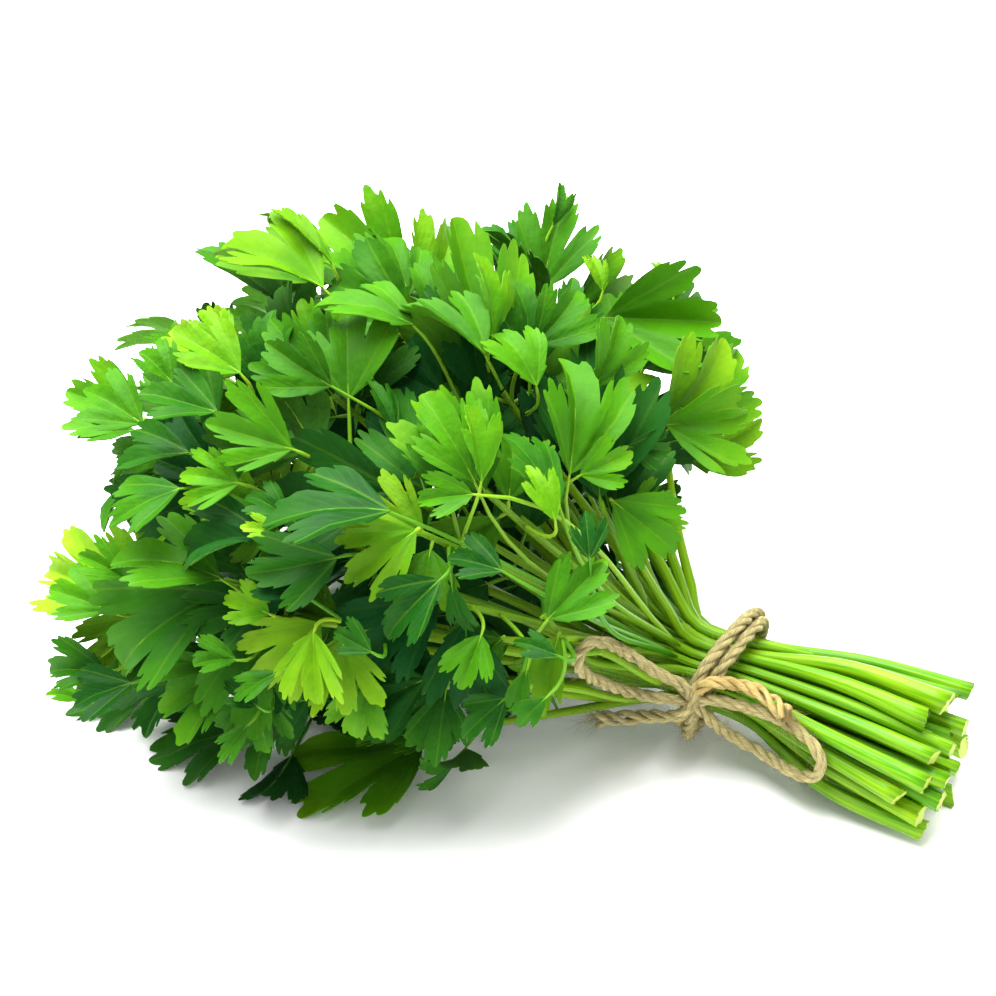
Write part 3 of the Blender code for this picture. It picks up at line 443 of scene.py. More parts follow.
# Finer twine
PLIES = 3
PLY_PITCH = 15.0
PLY_STEP = 1.1
PLY_SIDES = 9
PLY_OUT = 0.52
PLY_RADIUS = 0.50
PLY_SWELL = 0.35
PLY_LAG = 0.9
PLY_SPLAY = 0.55
TURN_WAVE = 0.25
EASING_ROUNDS = 8
FUZZ_PER_MM = 5.0
FUZZ_LENGTH = (1.0, 3.6)
FUZZ_RADIUS = 0.07
FRAY_FIBRES = {"twine_tail_left": 60, "twine_tail_right": 90}
FRAY_LENGTH = (3.5, 8.0)
FRAY_SPREAD = {"twine_tail_left": 0.32, "twine_tail_right": 0.40}
WARM_TAIL = "twine_tail_right"
TOP_TURN_RISE = 2.5
TOP_TURN_SWING = 2.6

# Shelter: the share of lines out from a place, in all ways but down, that meet something near. It sets the shade
# painted into leaves and stems there
SHELTER_WAYS = 36
SHELTER_LOWEST = -0.12
SHELTER_REACH = 60.0
SHELTER_FROM = 0.52
SHELTER_TO = 0.88
# How much less shade is painted on young leaflets
PAINTED_SHADE_EASED_ON_YOUNG = 0.45
SHELTER_SPOTS = (0.1, 0.5, 0.95)

# Camera and room
LENS = 85.0
SENSOR = 36.0
LOWEST_LIFT = 0.0003
FLOOR_SIZE = 24.0
FLOOR_COLOUR = (0.96, 0.96, 0.96, 1.0)
ROOM_BRIGHTNESS = 0.96
KEY_PLACE = (-0.35, 0.12, 1.45)
KEY_POWER = 100.0
KEY_SIZE = 1.6

# Colours
LEAF_STOPS = (
    (0.0, (0.005, 0.060, 0.004, 1.0)),
    (0.25, (0.020, 0.120, 0.003, 1.0)),
    (0.55, (0.060, 0.235, 0.002, 1.0)),
    (0.85, (0.180, 0.380, 0.006, 1.0)),
    (1.0, (0.300, 0.500, 0.024, 1.0)),
)
# Painted shade, mixed in where leaves and stems lie deep inside the bunch
PAINTED_SHADE_COLOUR = (0.002, 0.034, 0.006, 1.0)
VEIN_COLOUR = (0.200, 0.400, 0.020, 1.0)
RIB_DEEP = (0.045, 0.210, 0.006, 1.0)
RIB_LIGHT = (0.280, 0.480, 0.020, 1.0)
UNDER_COLOUR = (0.110, 0.280, 0.030, 1.0)
OLD_GLOW = (0.070, 0.360, 0.004, 1.0)
YOUNG_GLOW = (0.300, 0.620, 0.008, 1.0)
STEM_DEEP = (0.060, 0.240, 0.003, 1.0)
STEM_LIGHT = (0.220, 0.420, 0.004, 1.0)
STEM_PALE = (0.350, 0.480, 0.014, 1.0)
CUT_COLOUR = (0.380, 0.480, 0.080, 1.0)
TWINE_DARK = (0.240, 0.190, 0.050, 1.0)
TWINE_LIGHT = (0.800, 0.700, 0.340, 1.0)
TWINE_WARM = (0.720, 0.400, 0.060, 1.0)


# Places on the side that shows

def sight(across, up):
    """How a point's place shifts for each millimetre nearer the viewer, so that it stays in line."""
    shrink_across = (across - SHOW_CENTRE[0]) / SHOW_DISTANCE
    shrink_up = (up - SHOW_CENTRE[1]) / SHOW_DISTANCE
    return OUT - ACROSS * shrink_across - UP * shrink_up


def show_point(across, up, out):
    return ACROSS * across + UP * up + sight(across, up) * out


def as_shown(point):
    """Across and up at which a point is seen."""
    out = point.dot(OUT)
    places = []
    for way, centre in ((ACROSS, SHOW_CENTRE[0]), (UP, SHOW_CENTRE[1])):
        places.append((point.dot(way) * SHOW_DISTANCE - out * centre) / (SHOW_DISTANCE - out))
    return places


def seen_at(x, y):
    """Across and up of a place counted in the photo's pixels."""
    return (x - TIE_PIXEL[0]) * PIXEL, (TIE_PIXEL[1] - y) * PIXEL


def depth_on_head(across, up):
    """How far out the head's oval is at this place, or where it comes nearest."""
    start = ACROSS * across + UP * up - HEAD_CENTRE
    way = sight(across, up)
    a = sum((way[i] / HEAD_HALF[i]) ** 2 for i in range(3))
    b = sum(way[i] * start[i] / HEAD_HALF[i] ** 2 for i in range(3))
    c = sum((start[i] / HEAD_HALF[i]) ** 2 for i in range(3)) - 1.0
    return (-b + math.sqrt(max(b * b - a * c, 0.0))) / a


# Leaflets

def make_leaf(start, along, face, size, cut, youth, arch, fold):
    along = along.normalized()
    face = (face - along * face.dot(along)).normalized()
    return SimpleNamespace(
        start=start.copy(), along=along, face=face, size=size, cut=cut,
        youth=youth, arch=arch, fold=fold, stalklet=0.05, root=None,
    )


def turned(leaf, swing, lean, roll, shrink):
    """The same leaflet swung in its own plane, leaned out of it and rolled, in radians."""
    side = leaf.along.cross(leaf.face)
    turn = Matrix.Rotation(swing, 3, leaf.face) @ Matrix.Rotation(lean, 3, side)
    along = turn @ leaf.along
    face = Matrix.Rotation(roll, 3, along) @ (turn @ leaf.face)
    new = make_leaf(leaf.start, along, face, leaf.size * shrink, leaf.cut, leaf.youth, leaf.arch, leaf.fold)
    new.stalklet = leaf.stalklet
    return new


def blade_point(leaf, x, y, lift):
    """A point of the flat blade, x and y as shares of its length, once it is folded and arched."""
    turn = leaf.arch * max(y, 0.0)
    ahead = y if turn == 0.0 else math.sin(turn) / leaf.arch
    drop = 0.0 if turn == 0.0 else (1.0 - math.cos(turn)) / leaf.arch
    upright = leaf.face * math.cos(turn) + leaf.along * math.sin(turn)
    side = leaf.along.cross(leaf.face)
    rise = abs(x) * math.sin(leaf.fold)
    flat = leaf.along * ahead - leaf.face * drop + side * (x * math.cos(leaf.fold)) + upright * rise
    return leaf.start + flat * leaf.size + upright * lift


def blade_template(cut):
    """Flat prism of a blade: x and y as shares of its length, z 0 below and 1 on top."""
    half = []
    for angle, reach in CUTS[cut]:
        bearing = math.radians(angle)
        half.append((reach * math.sin(bearing), reach * math.cos(bearing)))
    outline = [(-STALKLET_HALF, -1.0), (STALKLET_HALF, -1.0), (STALKLET_HALF, 0.0)]
    outline += list(reversed(half))
    outline += [(-x, y) for x, y in half[1:]]
    outline += [(-STALKLET_HALF, 0.0)]
    bm = bmesh.new()
    face = bm.faces.new([bm.verts.new((x, y, 0.0)) for x, y in outline])
    poked = bmesh.ops.poke(bm, faces=[face])
    poked["verts"][0].co = (0.0, RIB_POINT, 0.0)
    lifted = bmesh.ops.extrude_face_region(bm, geom=bm.faces[:], use_keep_orig=True)
    top = [item for item in lifted["geom"] if isinstance(item, bmesh.types.BMVert)]
    bmesh.ops.translate(bm, verts=top, vec=(0.0, 0.0, 1.0))
    bmesh.ops.triangulate(bm, faces=bm.faces[:])
    bmesh.ops.recalc_face_normals(bm, faces=bm.faces[:])
    return bm


def bend_blade(bm, leaf, thickness):
    for vert in bm.verts:
        x, y, z = vert.co
        if y < -0.5:
            y = -leaf.stalklet
        vert.co = blade_point(leaf, x, y, (z - 0.5) * thickness)


def blade_skin(leaf, templates, bare=False):
    """The blade with its clearance, for testing against what is there already."""
    bm = templates[leaf.cut].copy()
    wide = SimpleNamespace(**vars(leaf))
    wide.size = leaf.size * 1.03
    if bare:
        wide.stalklet = 0.01
    bend_blade(bm, wide, BLADE_THICKNESS + 2.0 * BLADE_GAP)
    corners = [vert.co.copy() for vert in bm.verts]
    bm.verts.index_update()
    faces = [[vert.index for vert in face.verts] for face in bm.faces]
    bm.free()
    return make_skin(corners, faces)


def make_skin(corners, faces):
    low = Vector([min(corner[i] for corner in corners) for i in range(3)])
    high = Vector([max(corner[i] for corner in corners) for i in range(3)])
    tree = BVHTree.FromPolygons(corners, faces)
    return SimpleNamespace(low=low, high=high, tree=tree, corners=corners, faces=faces)


def tube_skin(line, radii, grow):
    """An open tube round a line, for testing against."""
    corners = []
    faces = []
    count = len(line)
    for i, point in enumerate(line):
        ahead = (line[min(i + 1, count - 1)] - line[max(i - 1, 0)]).normalized()
        side = ahead.orthogonal().normalized()
        other = ahead.cross(side)
        for k in range(STEM_SIDES):
            turn = math.tau * k / STEM_SIDES
            offset = side * math.cos(turn) + other * math.sin(turn)
            corners.append(point + offset * (radii[i] + grow) * 1.08)
    for i in range(count - 1):
        low = [i * STEM_SIDES + k for k in range(STEM_SIDES)]
        nearest = [min(range(STEM_SIDES), key=lambda j, a=a, i=i: (
            corners[(i + 1) * STEM_SIDES + j] - corners[a]).length) for a in low[:1]][0]
        for k in range(STEM_SIDES):
            step = (k + 1) % STEM_SIDES
            faces.append([
                low[k], low[step],
                (i + 1) * STEM_SIDES + (nearest + step) % STEM_SIDES,
                (i + 1) * STEM_SIDES + (nearest + k) % STEM_SIDES,
            ])
    return make_skin(corners, faces)


def touches(skin, others):
    for other in others:
        apart = any(skin.low[i] > other.high[i] or other.low[i] > skin.high[i] for i in range(3))
        if not apart and skin.tree.overlap(other.tree):
            return True
    return False


# Stems

def pack_circles(spots, radii, oval, lowest, rounds):
    """Circles drawn towards the middle of an oval and pushed off each other."""
    spots = spots.copy()
    for turn in range(rounds):
        spots -= spots * 0.03 * (1.0 - turn / rounds) * (oval.max() / oval)
        gap = spots[:, None] - spots[None]
        distance = np.linalg.norm(gap, axis=2)
        np.fill_diagonal(distance, 1e9)
        short = np.maximum(radii[:, None] + radii[None] + STEM_GAP - distance, 0.0)
        push = gap / np.maximum(distance, 1e-6)[:, :, None] * short[:, :, None] * 0.5
        spots += push.sum(axis=1)
        spots[:, 1] = np.maximum(spots[:, 1], lowest + radii * STEM_FLATTENED)
    return spots


def nearest_on_segments(p1, d1, p2, d2):
    """Shares along each pair of segments where they come nearest."""
    offset = p1 - p2
    a = np.maximum((d1 * d1).sum(-1), 1e-9)
    e = np.maximum((d2 * d2).sum(-1), 1e-9)
    f = (d2 * offset).sum(-1)
    c = (d1 * offset).sum(-1)
    b = (d1 * d2).sum(-1)
    s = np.clip((b * f - c * e) / np.maximum(a * e - b * b, 1e-9), 0.0, 1.0)
    t = np.clip((b * s + f) / e, 0.0, 1.0)
    s = np.clip((b * t - c) / a, 0.0, 1.0)
    return s, t


def settle_stems(lines, radii, mobile, rounds):
    """Stems pushed off each other and off the surface, and kept smooth."""
    count, points = radii.shape
    first, second = np.triu_indices(count, 1)
    for turn in range(rounds):
        steps = lines[:, 1:] - lines[:, :-1]
        p1 = lines[first][:, :-1, None]
        d1 = steps[first][:, :, None]
        p2 = lines[second][:, None, :-1]
        d2 = steps[second][:, None]
        s, t = nearest_on_segments(p1, d1, p2, d2)
        gap = p1 + d1 * s[..., None] - p2 - d2 * t[..., None]
        distance = np.linalg.norm(gap, axis=-1)
        r1 = radii[first][:, :-1, None] * (1 - s) + radii[first][:, 1:, None] * s
        r2 = radii[second][:, None, :-1] * (1 - t) + radii[second][:, None, 1:] * t
        short = r1 + r2 + STEM_GAP + 0.25 - distance
        pair, one, two = np.nonzero(short > 0.0)
        push = gap[pair, one, two] / np.maximum(distance[pair, one, two], 1e-4)[:, None]
        push = push * np.minimum(short[pair, one, two], 1.5)[:, None] * 0.7
        s = s[pair, one, two][:, None]
        t = t[pair, one, two][:, None]
        move = np.zeros_like(lines)
        np.add.at(move, (first[pair], one), push * (1 - s))
        np.add.at(move, (first[pair], one + 1), push * s)
        np.add.at(move, (second[pair], two), -push * (1 - t))
        np.add.at(move, (second[pair], two + 1), -push * t)
        if turn < rounds * 0.6:
            bend = (lines[:, 2:] + lines[:, :-2]) * 0.5 - lines[:, 1:-1]
            move[:, 1:-1] += bend * 0.05
        lines = lines + np.clip(move, -2.0, 2.0) * mobile
        lines[..., 2] = np.maximum(lines[..., 2], radii * STEM_FLATTENED - TIE_HEIGHT)
    return lines


def bezier(p0, p1, p2, p3, t):
    u = 1.0 - t
    return p0 * (u ** 3) + p1 * (3 * u * u * t) + p2 * (3 * u * t * t) + p3 * (t ** 3)


def pair_up(slots, wanted):
    """Which slot each stem takes, so that stems cross as little as they can."""
    taken = list(range(len(slots)))
    cost = ((wanted[:, None] - slots[None]) ** 2).sum(axis=2)
    better = True
    while better:
        better = False
        for i in range(len(taken)):
            for j in range(i + 1, len(taken)):
                now = cost[i, taken[i]] + cost[j, taken[j]]
                if cost[i, taken[j]] + cost[j, taken[i]] < now - 1e-9:
                    taken[i], taken[j] = taken[j], taken[i]
                    better = True
    return taken


def leading_leaves(rng):
    """The leading leaflet of every stalk, as wanted before anything is cleared."""
    leaves = []
    for row in SHOW_LEAVES:
        across, up, tip_across, tip_up, proud, lean, roll, youth, cut = row
        out = depth_on_head(across, up) + proud
        reach = math.hypot(tip_across - across, tip_up - up)
        flat = (ACROSS * (tip_across - across) + UP * (tip_up - up)) / reach
        tilt = math.radians(lean)
        along = flat * math.cos(tilt) + OUT * math.sin(tilt)
        face = OUT + Vector((0.0, 0.0, 0.25))
        size = reach * (1.0 - out / SHOW_DISTANCE) / math.cos(tilt)
        arch = math.radians(rng.uniform(15, 45))
        fold = math.radians(rng.uniform(4, 18))
        leaf = make_leaf(show_point(across, up, out), along, face, size, cut, youth, arch, fold)
        leaves.append(turned(leaf, 0.0, 0.0, math.radians(roll), 1.0))
    for x, y, z, tip_x, tip_y, tip_z, youth, cut in LOW_LEAVES:
        start = Vector((x, y, z - TIE_HEIGHT))
        along = Vector((tip_x, tip_y, tip_z - TIE_HEIGHT)) - start
        face = Vector((0.0, 0.0, 1.0))
        leaves.append(make_leaf(start, along, face, along.length, cut, youth, 0.0, math.radians(4)))
    for x, angle, youth in BACK_LEAVES:
        turn = math.radians(angle)
        waist = math.sqrt(max(1.0 - ((x - HEAD_CENTRE.x) / HEAD_HALF.x) ** 2, 0.05))
        y = HEAD_HALF.y * waist * math.cos(turn)
        z = HEAD_CENTRE.z + HEAD_HALF.z * waist * math.sin(turn)
        start = Vector((x, y, z))
        outward = Vector([(start - HEAD_CENTRE)[i] / HEAD_HALF[i] ** 2 for i in range(3)]).normalized()
        along = (start.normalized() + outward * 0.5).normalized()
        size = rng.uniform(34, 42)
        arch = math.radians(rng.uniform(15, 40))
        leaves.append(make_leaf(start, along, outward, size, "broad", youth, arch, math.radians(10)))
    return leaves


def plan_stems(leaves, rng):
    """Centrelines and radii of all stems, cut end first."""
    count = len(leaves)
    tie_radii = np.array([rng.uniform(*STEM_RADIUS_AT_TIE) for _ in range(count)])
    cut_radii = np.array([rng.uniform(*STEM_RADIUS_AT_CUT) for _ in range(count)])
    golden = math.pi * (3.0 - math.sqrt(5.0))
    spots = np.array([
        (math.sqrt(k + 0.5) * math.cos(k * golden), math.sqrt(k + 0.5) * math.sin(k * golden))
        for k in range(count)
    ])
    slots = pack_circles(spots * 2.0, tie_radii, np.array((1.0, 1.0)), -1e9, 500)
    slots -= slots.mean(axis=0)
    reach = np.linalg.norm(slots, axis=1).max()
    oval = np.array(CUT_OVAL)
    lowest = 0.0 - CUT_HEIGHT
    ends = pack_circles(slots / reach * oval, cut_radii, oval, lowest, 400)
    wanted = []
    for leaf in leaves:
        spread = Vector((leaf.start.y, leaf.start.z - 0.12 * leaf.start.length))
        wanted.append(tuple(spread * (16.0 / (20.0 + abs(leaf.start.x)))))
    taken = pair_up(slots, np.array(wanted))
    stray = int(np.argmax(slots @ np.array((0.5, 0.85))))
    cut_radii[stray] = STRAY_RADIUS
    lines = []
    radii = []
    for leaf, slot in zip(leaves, taken):
        cut_x = rng.uniform(*CUT_DISTANCE)
        side, height = slots[slot]
        end_side, end_height = ends[slot]
        rise = -0.08
        end = Vector((cut_x, end_side + CUT_SIDE, end_height + CUT_HEIGHT - TIE_HEIGHT))
        if slot == stray:
            end = STRAY_CUT.copy()
        near = Vector((TIE_REACH, side * 1.01, height * 1.01 + rise * TIE_REACH))
        far = Vector((-TIE_REACH, side * 1.01, height * 1.01 - rise * TIE_REACH))
        lead = Vector((1.0, side * 0.010, height * 0.010 + rise))
        line = [bezier(near, near + lead * 18.0, end * 0.7 + near * 0.3, end, t) for t in (1.0, 0.5)]
        line += [near, far]
        path = leaf.start - far
        lead = Vector((-1.0, side * 0.030, height * 0.030 - rise)).normalized()
        arrive = (leaf.along + path.normalized() * 0.7).normalized()
        handle = path.length * 0.38
        for t in (0.22, 0.45, 0.68, 0.86, 1.0):
            line.append(bezier(far, far + lead * handle, leaf.start - arrive * handle * 0.8, leaf.start, t))
        cut, tie = cut_radii[slot], tie_radii[slot]
        lines.append([tuple(point) for point in line])
        radii.append([cut, cut * 0.55 + tie * 0.45, tie, tie] + [
            tie + (STEM_RADIUS_AT_LEAF - tie) * share for share in (0.2, 0.4, 0.6, 0.8, 1.0)
        ])
    lines = np.array(lines)
    radii = np.array(radii)
    mobile = np.ones_like(lines)
    mobile[:, 2:4] = 0.0
    mobile[:, 0, 0] = 0.0
    mobile[taken.index(stray), 0] = 0.0
    lines = settle_stems(lines, radii, mobile, 260)
    stems = [[Vector(point) for point in line] for line in lines]
    return stems, radii


# Planting leaflets

def side_leaves(lead, stem, tips, rng):
    """The pair of leaflets below the leading one, towards their tips where these are given."""
    back = (stem[-1] - stem[-2]).normalized()
    below = lead.size * rng.uniform(0.26, 0.36)
    root = stem[-1] - back * min(below, (stem[-1] - stem[-2]).length * 0.95)
    middle = (lead.along + back * 0.6).normalized()
    side = lead.along.cross(lead.face)
    ways = []
    if tips is None:
        for hand in (-1, 1):
            spread = math.radians(rng.uniform(52, 68))
            along = middle * math.cos(spread) + side * (hand * math.sin(spread))
            ways.append((along - lead.face * rng.uniform(0.08, 0.28), lead.size * rng.uniform(0.78, 0.92)))
    else:
        for across, up in tips:
            way = show_point(across, up, root.dot(OUT) - 2.0) - root
            ways.append((way, way.length * 0.9))
    pair = []
    for along, size in ways:
        youth = min(max(lead.youth + rng.uniform(-0.15, 0.15), 0.0), 1.0)
        arch = math.radians(rng.uniform(15, 45))
        fold = math.radians(rng.uniform(4, 16))
        leaf = make_leaf(root, along, lead.face, size, lead.cut, youth, arch, fold)
        leaf.stalklet = rng.uniform(0.14, 0.24)
        leaf.start = root + leaf.along * (leaf.stalklet * leaf.size - ROOT_DEPTH * 0.5)
        pair.append(leaf)
    return pair


def filling_leaves(stalk, below, rng):
    """A pair of leaflets lower on a stem, to fill the inside of the head."""
    line = smooth_line(stalk.line, 2.0)
    spot = len(line) - 1 - round(below * rng.uniform(0.85, 1.15) / 2.0)
    behind = line[spot].x > FILL_FURTHEST_FORWARD
    if behind and (line[spot].x > FILL_BEHIND_FORWARD or line[spot].dot(OUT) > 0.0):
        return []
    if behind and line[spot].dot(ACROSS) > FILL_BEHIND_ACROSS:
        return []
    ahead = (line[spot + 1] - line[spot - 1]).normalized()
    outward = Vector([(line[spot] - HEAD_CENTRE)[i] / HEAD_HALF[i] ** 2 for i in range(3)]).normalized()
    if behind:
        outward = -OUT
    side = ahead.cross(outward).normalized()
    pair = []
    for hand in (-1, 1):
        spread = math.radians(rng.uniform(30, 75))
        along = ahead * math.cos(spread) + side * (hand * math.sin(spread)) + outward * rng.uniform(-0.1, 0.7)
        # Filling leaflets take a darker tone than their stalk, partly for their age and partly as painted shade
        # inside the head
        youth = FILL_BEHIND_YOUTH_AND_SHADE if behind else min(max(stalk.youth * 0.6 + rng.uniform(-0.1, 0.2), 0.0), 1.0)
        size = rng.uniform(*FILL_SIZE)
        arch = math.radians(rng.uniform(15, 45))
        fold = math.radians(rng.uniform(4, 16))
        leaf = make_leaf(line[spot], along, outward, size, "broad", youth, arch, fold)
        leaf.stalklet = rng.uniform(*FILL_STALKLET)
        leaf.start = line[spot] + leaf.along * (leaf.stalklet * leaf.size)
        pair.append(leaf)
    return pair


def plant(leaf, skins, siblings, templates, rng, low, tries=POSES_TRIED):
    """The leaflet in a pose that clears what is there, or None. Siblings share their root."""
    root = leaf.start - leaf.along * (leaf.stalklet * leaf.size)
    for k in range(tries):
        loose = k / tries
        swing = math.radians(rng.gauss(0.0, 5.0 + 30.0 * loose)) if k else 0.0
        lean = math.radians(rng.gauss(0.0, 5.0 + 30.0 * loose)) if k else 0.0
        roll = math.radians(rng.gauss(0.0, 6.0 + 30.0 * loose)) if k else 0.0
        new = turned(leaf, swing, lean, roll, 1.0 - 0.35 * loose)
        new.start = root + new.along * (new.stalklet * new.size)
        skin = blade_skin(new, templates)
        if low:
            new.settled = -BLADE_GAP - TIE_HEIGHT - skin.low.z
            if abs(new.settled) > LOW_SETTLING:
                continue
            new.start.z += new.settled
            skin = blade_skin(new, templates)
        if skin.low.z + TIE_HEIGHT < -BLADE_GAP * 1.5:
            continue
        if touches(skin, skins):
            continue
        if siblings and touches(blade_skin(new, templates, bare=True), siblings):
            continue
        return new, skin
    return None, None


def lay_leaf(row, behind, skins, templates, rng):
    """A leaflet laid on what is there, or put free behind the stems, with its skin, or None."""
    x, y, tip_x, tip_y, lean, roll, youth, cut = row
    across, up = seen_at(x, y)
    tip_across, tip_up = seen_at(tip_x, tip_y)
    reach = math.hypot(tip_across - across, tip_up - up)
    flat = (ACROSS * (tip_across - across) + UP * (tip_up - up)) / reach
    tilt = math.radians(lean)
    along = flat * math.cos(tilt) + OUT * math.sin(tilt)
    face = OUT + Vector((0.0, 0.0, 0.25))
    arch = math.radians(rng.uniform(10, 40))
    fold = math.radians(rng.uniform(4, 18))
    laid = None
    outs = depth_on_head(across, up) + np.arange(LAID_FROM, LAID_TO, -LAID_STEP)
    if behind:
        outs = np.arange(BEHIND_TO, BEHIND_FROM, -LAID_STEP)
    for out in outs:
        size = reach * (1.0 - out / SHOW_DISTANCE) / math.cos(tilt)
        leaf = make_leaf(show_point(across, up, out), along, face, size, cut, youth, arch, fold)
        leaf = turned(leaf, 0.0, 0.0, math.radians(roll), 1.0)
        skin = blade_skin(leaf, templates, bare=True)
        if skin.low.z + TIE_HEIGHT < 0.0 or skin.low.y < FRONT_MOST:
            continue
        free = not touches(skin, skins)
        if free:
            laid = leaf, skin
        if free == behind:
            break
    return laid


def hang_leaf(row, skins, templates, rng):
    """A leaflet hung free under the head, with its skin, or None."""
    x, y, z, tip_x, tip_y, tip_z, youth, cut = row
    start = Vector((x, y, z - TIE_HEIGHT))
    along = Vector((tip_x, tip_y, tip_z - TIE_HEIGHT)) - start
    arch = math.radians(rng.uniform(10, 40))
    fold = math.radians(rng.uniform(4, 18))
    for shift in UNDER_SHIFTS:
        place = start + Vector((shift, 0.0, 0.0))
        leaf = make_leaf(place, along, UNDER_FACE, along.length, cut, youth, arch, fold)
        skin = blade_skin(leaf, templates, bare=True)
        if skin.low.z + TIE_HEIGHT >= 0.0 and not touches(skin, skins):
            return leaf, skin
    return None


def stalklet_line(leaf):
    """The middle of a laid leaflet's own stalklet, from the stem that it grows on."""
    place, way = leaf.root
    reach = (leaf.start - place).length
    turn = place + way * (reach * STALKLET_HANDLES[0])
    bend = leaf.start - (leaf.along + leaf.face * STALKLET_DIP).normalized() * (reach * STALKLET_HANDLES[1])
    steps = [k / STALKLET_STEPS for k in range(STALKLET_STEPS + 1)]
    return [bezier(place, turn, bend, leaf.start, share) for share in steps]


def nearest_root(leaf, stalks):
    """Where a laid leaflet's stalklet leaves a stem, the stem's way there, and that stem's number."""
    wanted = leaf.start - leaf.along * STALKLET_PULL - OUT * STALKLET_BACK
    if leaf.long:
        wanted = leaf.start * LONG_ROOT_SHARE
    best = None
    for number, stalk in enumerate(stalks):
        line = smooth_line(stalk.line[3:], 3.0)[:-4]
        for before, spot, after in zip(line, line[1:], line[2:]):
            gap = (spot - wanted).length
            if best is None or gap < best[0]:
                best = gap, (spot, (after - before).normalized()), number
    return best[1:]


def joined_tree(skins):
    """One tree of faces of all skins, to look for shelter in."""
    corners = []
    faces = []
    for skin in skins:
        start = len(corners)
        corners += skin.corners
        faces += [[start + corner for corner in face] for face in skin.faces]
    return BVHTree.FromPolygons(corners, faces)


def plan_bunch():
    """Stems with their leaflets, and the twine, all clear of each other."""
    rng = random.Random(SEED)
    templates = {cut: blade_template(cut) for cut in CUTS}
    leads = leading_leaves(rng)
    stems, radii = plan_stems(leads, rng)
    skins = [tube_skin(line, r, BLADE_GAP) for line, r in zip(stems, radii)]
    twine = plan_twine(stems, radii)
    twine_skins = [tube_skin(line, [TWINE_RADIUS] * len(line), BLADE_GAP) for line in twine.cords.values()]
    stalks = []
    for lead, stem, radius in zip(leads, stems, radii):
        lead.start = stem[-1] + lead.along * (lead.stalklet * lead.size - ROOT_DEPTH)
        stalks.append(SimpleNamespace(line=stem, radii=list(radius), leaves=[], youth=lead.youth))
    planted = {i: [] for i in range(len(stalks))}

    def grow(i, wanted, low, tries=POSES_TRIED):
        others = skins[:i] + skins[i + 1:] + twine_skins
        for owner, blades in planted.items():
            if owner != i:
                others += blades
        siblings = [blade_skin(leaf, templates, bare=True) for leaf in stalks[i].leaves]
        leaf, skin = plant(wanted, others, siblings, templates, rng, low, tries)
        if leaf:
            stalks[i].leaves.append(leaf)
            planted[i].append(skin)
        return leaf

    low_from = len(SHOW_LEAVES)
    low_to = low_from + len(LOW_LEAVES)
    order = list(range(low_from, low_to)) + list(range(low_from)) + list(range(low_to, len(leads)))
    for i in order:
        low = low_from <= i < low_to
        leaf = grow(i, leads[i], low)
        if leaf and low:
            stems[i][-1].z += leaf.settled
            skins[i] = tube_skin(stems[i], radii[i], BLADE_GAP)
    for i in order:
        lead = stalks[i].leaves[0] if stalks[i].leaves else leads[i]
        for wanted in side_leaves(lead, stems[i], SHOW_PAIRS.get(i), rng):
            grow(i, wanted, False)
    for below in FILL_BELOW:
        for i in order:
            for wanted in filling_leaves(stalks[i], below, rng):
                grow(i, wanted, False, FILL_POSES)
    everything = skins + twine_skins + [skin for blades in planted.values() for skin in blades]
    rows = sorted(LAID_LEAVES, key=lambda row: -math.dist(row[:2], TIE_PIXEL))
    for row in rows + list(BEHIND_LEAVES) + list(UNDER_LEAVES):
        if row in UNDER_LEAVES:
            laid = hang_leaf(row, everything, templates, rng)
        else:
            laid = lay_leaf(row, row in BEHIND_LEAVES, everything, templates, rng)
        if laid:
            leaf, skin = laid
            leaf.long = row[:2] in LONG_STALKLETS
            leaf.root, owner = nearest_root(leaf, stalks)
            stalks[owner].leaves.append(leaf)
            line = stalklet_line(leaf)
            everything += [skin, tube_skin(line, [LONG_RADIUS] * len(line), BLADE_GAP)]
    return stalks, twine, joined_tree(everything)


# Twine

def clear_depth(across, up, lines, radii, nearest, furthest):
    """How far out a cord lies on what is under it, coming down on it from the viewer's side."""
    out = nearest
    while out > furthest:
        point = show_point(across, up, out - 0.25)
        if any(distance_to_line(point, line, r) < TWINE_RADIUS + BOW_GAP for line, r in zip(lines, radii)):
            return out
        out -= 0.25
    return out


def distance_to_line(point, line, radii):
    best = 1e9
    for a, b, ra, rb in zip(line, line[1:], radii, radii[1:]):
        step = b - a
        share = min(max((point - a).dot(step) / step.length_squared, 0.0), 1.0)
        gap = (point - a - step * share).length - ra * (1 - share) - rb * share
        best = min(best, gap)
    return best


def smooth_line(points, spacing):
    """Points at an even spacing on a smooth curve through the given ones."""
    dense = []
    ends = [points[0] * 2 - points[1]] + list(points) + [points[-1] * 2 - points[-2]]
    for i in range(1, len(ends) - 2):
        a, b, c, d = ends[i - 1:i + 3]
        for k in range(12):
            t = k / 12
            dense.append((b * 2 + (c - a) * t + (a * 2 - b * 5 + c * 4 - d) * t * t
                          + (b * 3 - a - c * 3 + d) * t ** 3) * 0.5)
    dense.append(points[-1])
    length = sum((q - p).length for p, q in zip(dense, dense[1:]))
    count = max(round(length / spacing), 3)
    line = [dense[0]]
    walked = 0.0
    for p, q in zip(dense, dense[1:]):
        step = (q - p).length
        while len(line) < count and walked + step >= length * len(line) / count:
            share = (length * len(line) / count - walked) / step
            line.append(p + (q - p) * share)
        walked += step
    line.append(dense[-1])
    return line


def lift_clear(line, lines, radii):
    """A cord's points moved out until its whole length clears what is under it."""
    for _ in range(60):
        moved = False
        for i in range(len(line) - 1):
            for share in (0.0, 0.25, 0.5, 0.75, 1.0):
                point = line[i].lerp(line[i + 1], share)
                near = min(distance_to_line(point, other, r) for other, r in zip(lines, radii))
                short = TWINE_RADIUS + TWINE_GAP - near
                if short <= 0.0:
                    continue
                for k, weight in ((i, 1.0 - share), (i + 1, share)):
                    line[k] = line[k] + OUT * (short * weight + 0.02)
                    moved = True
        if not moved:
            return


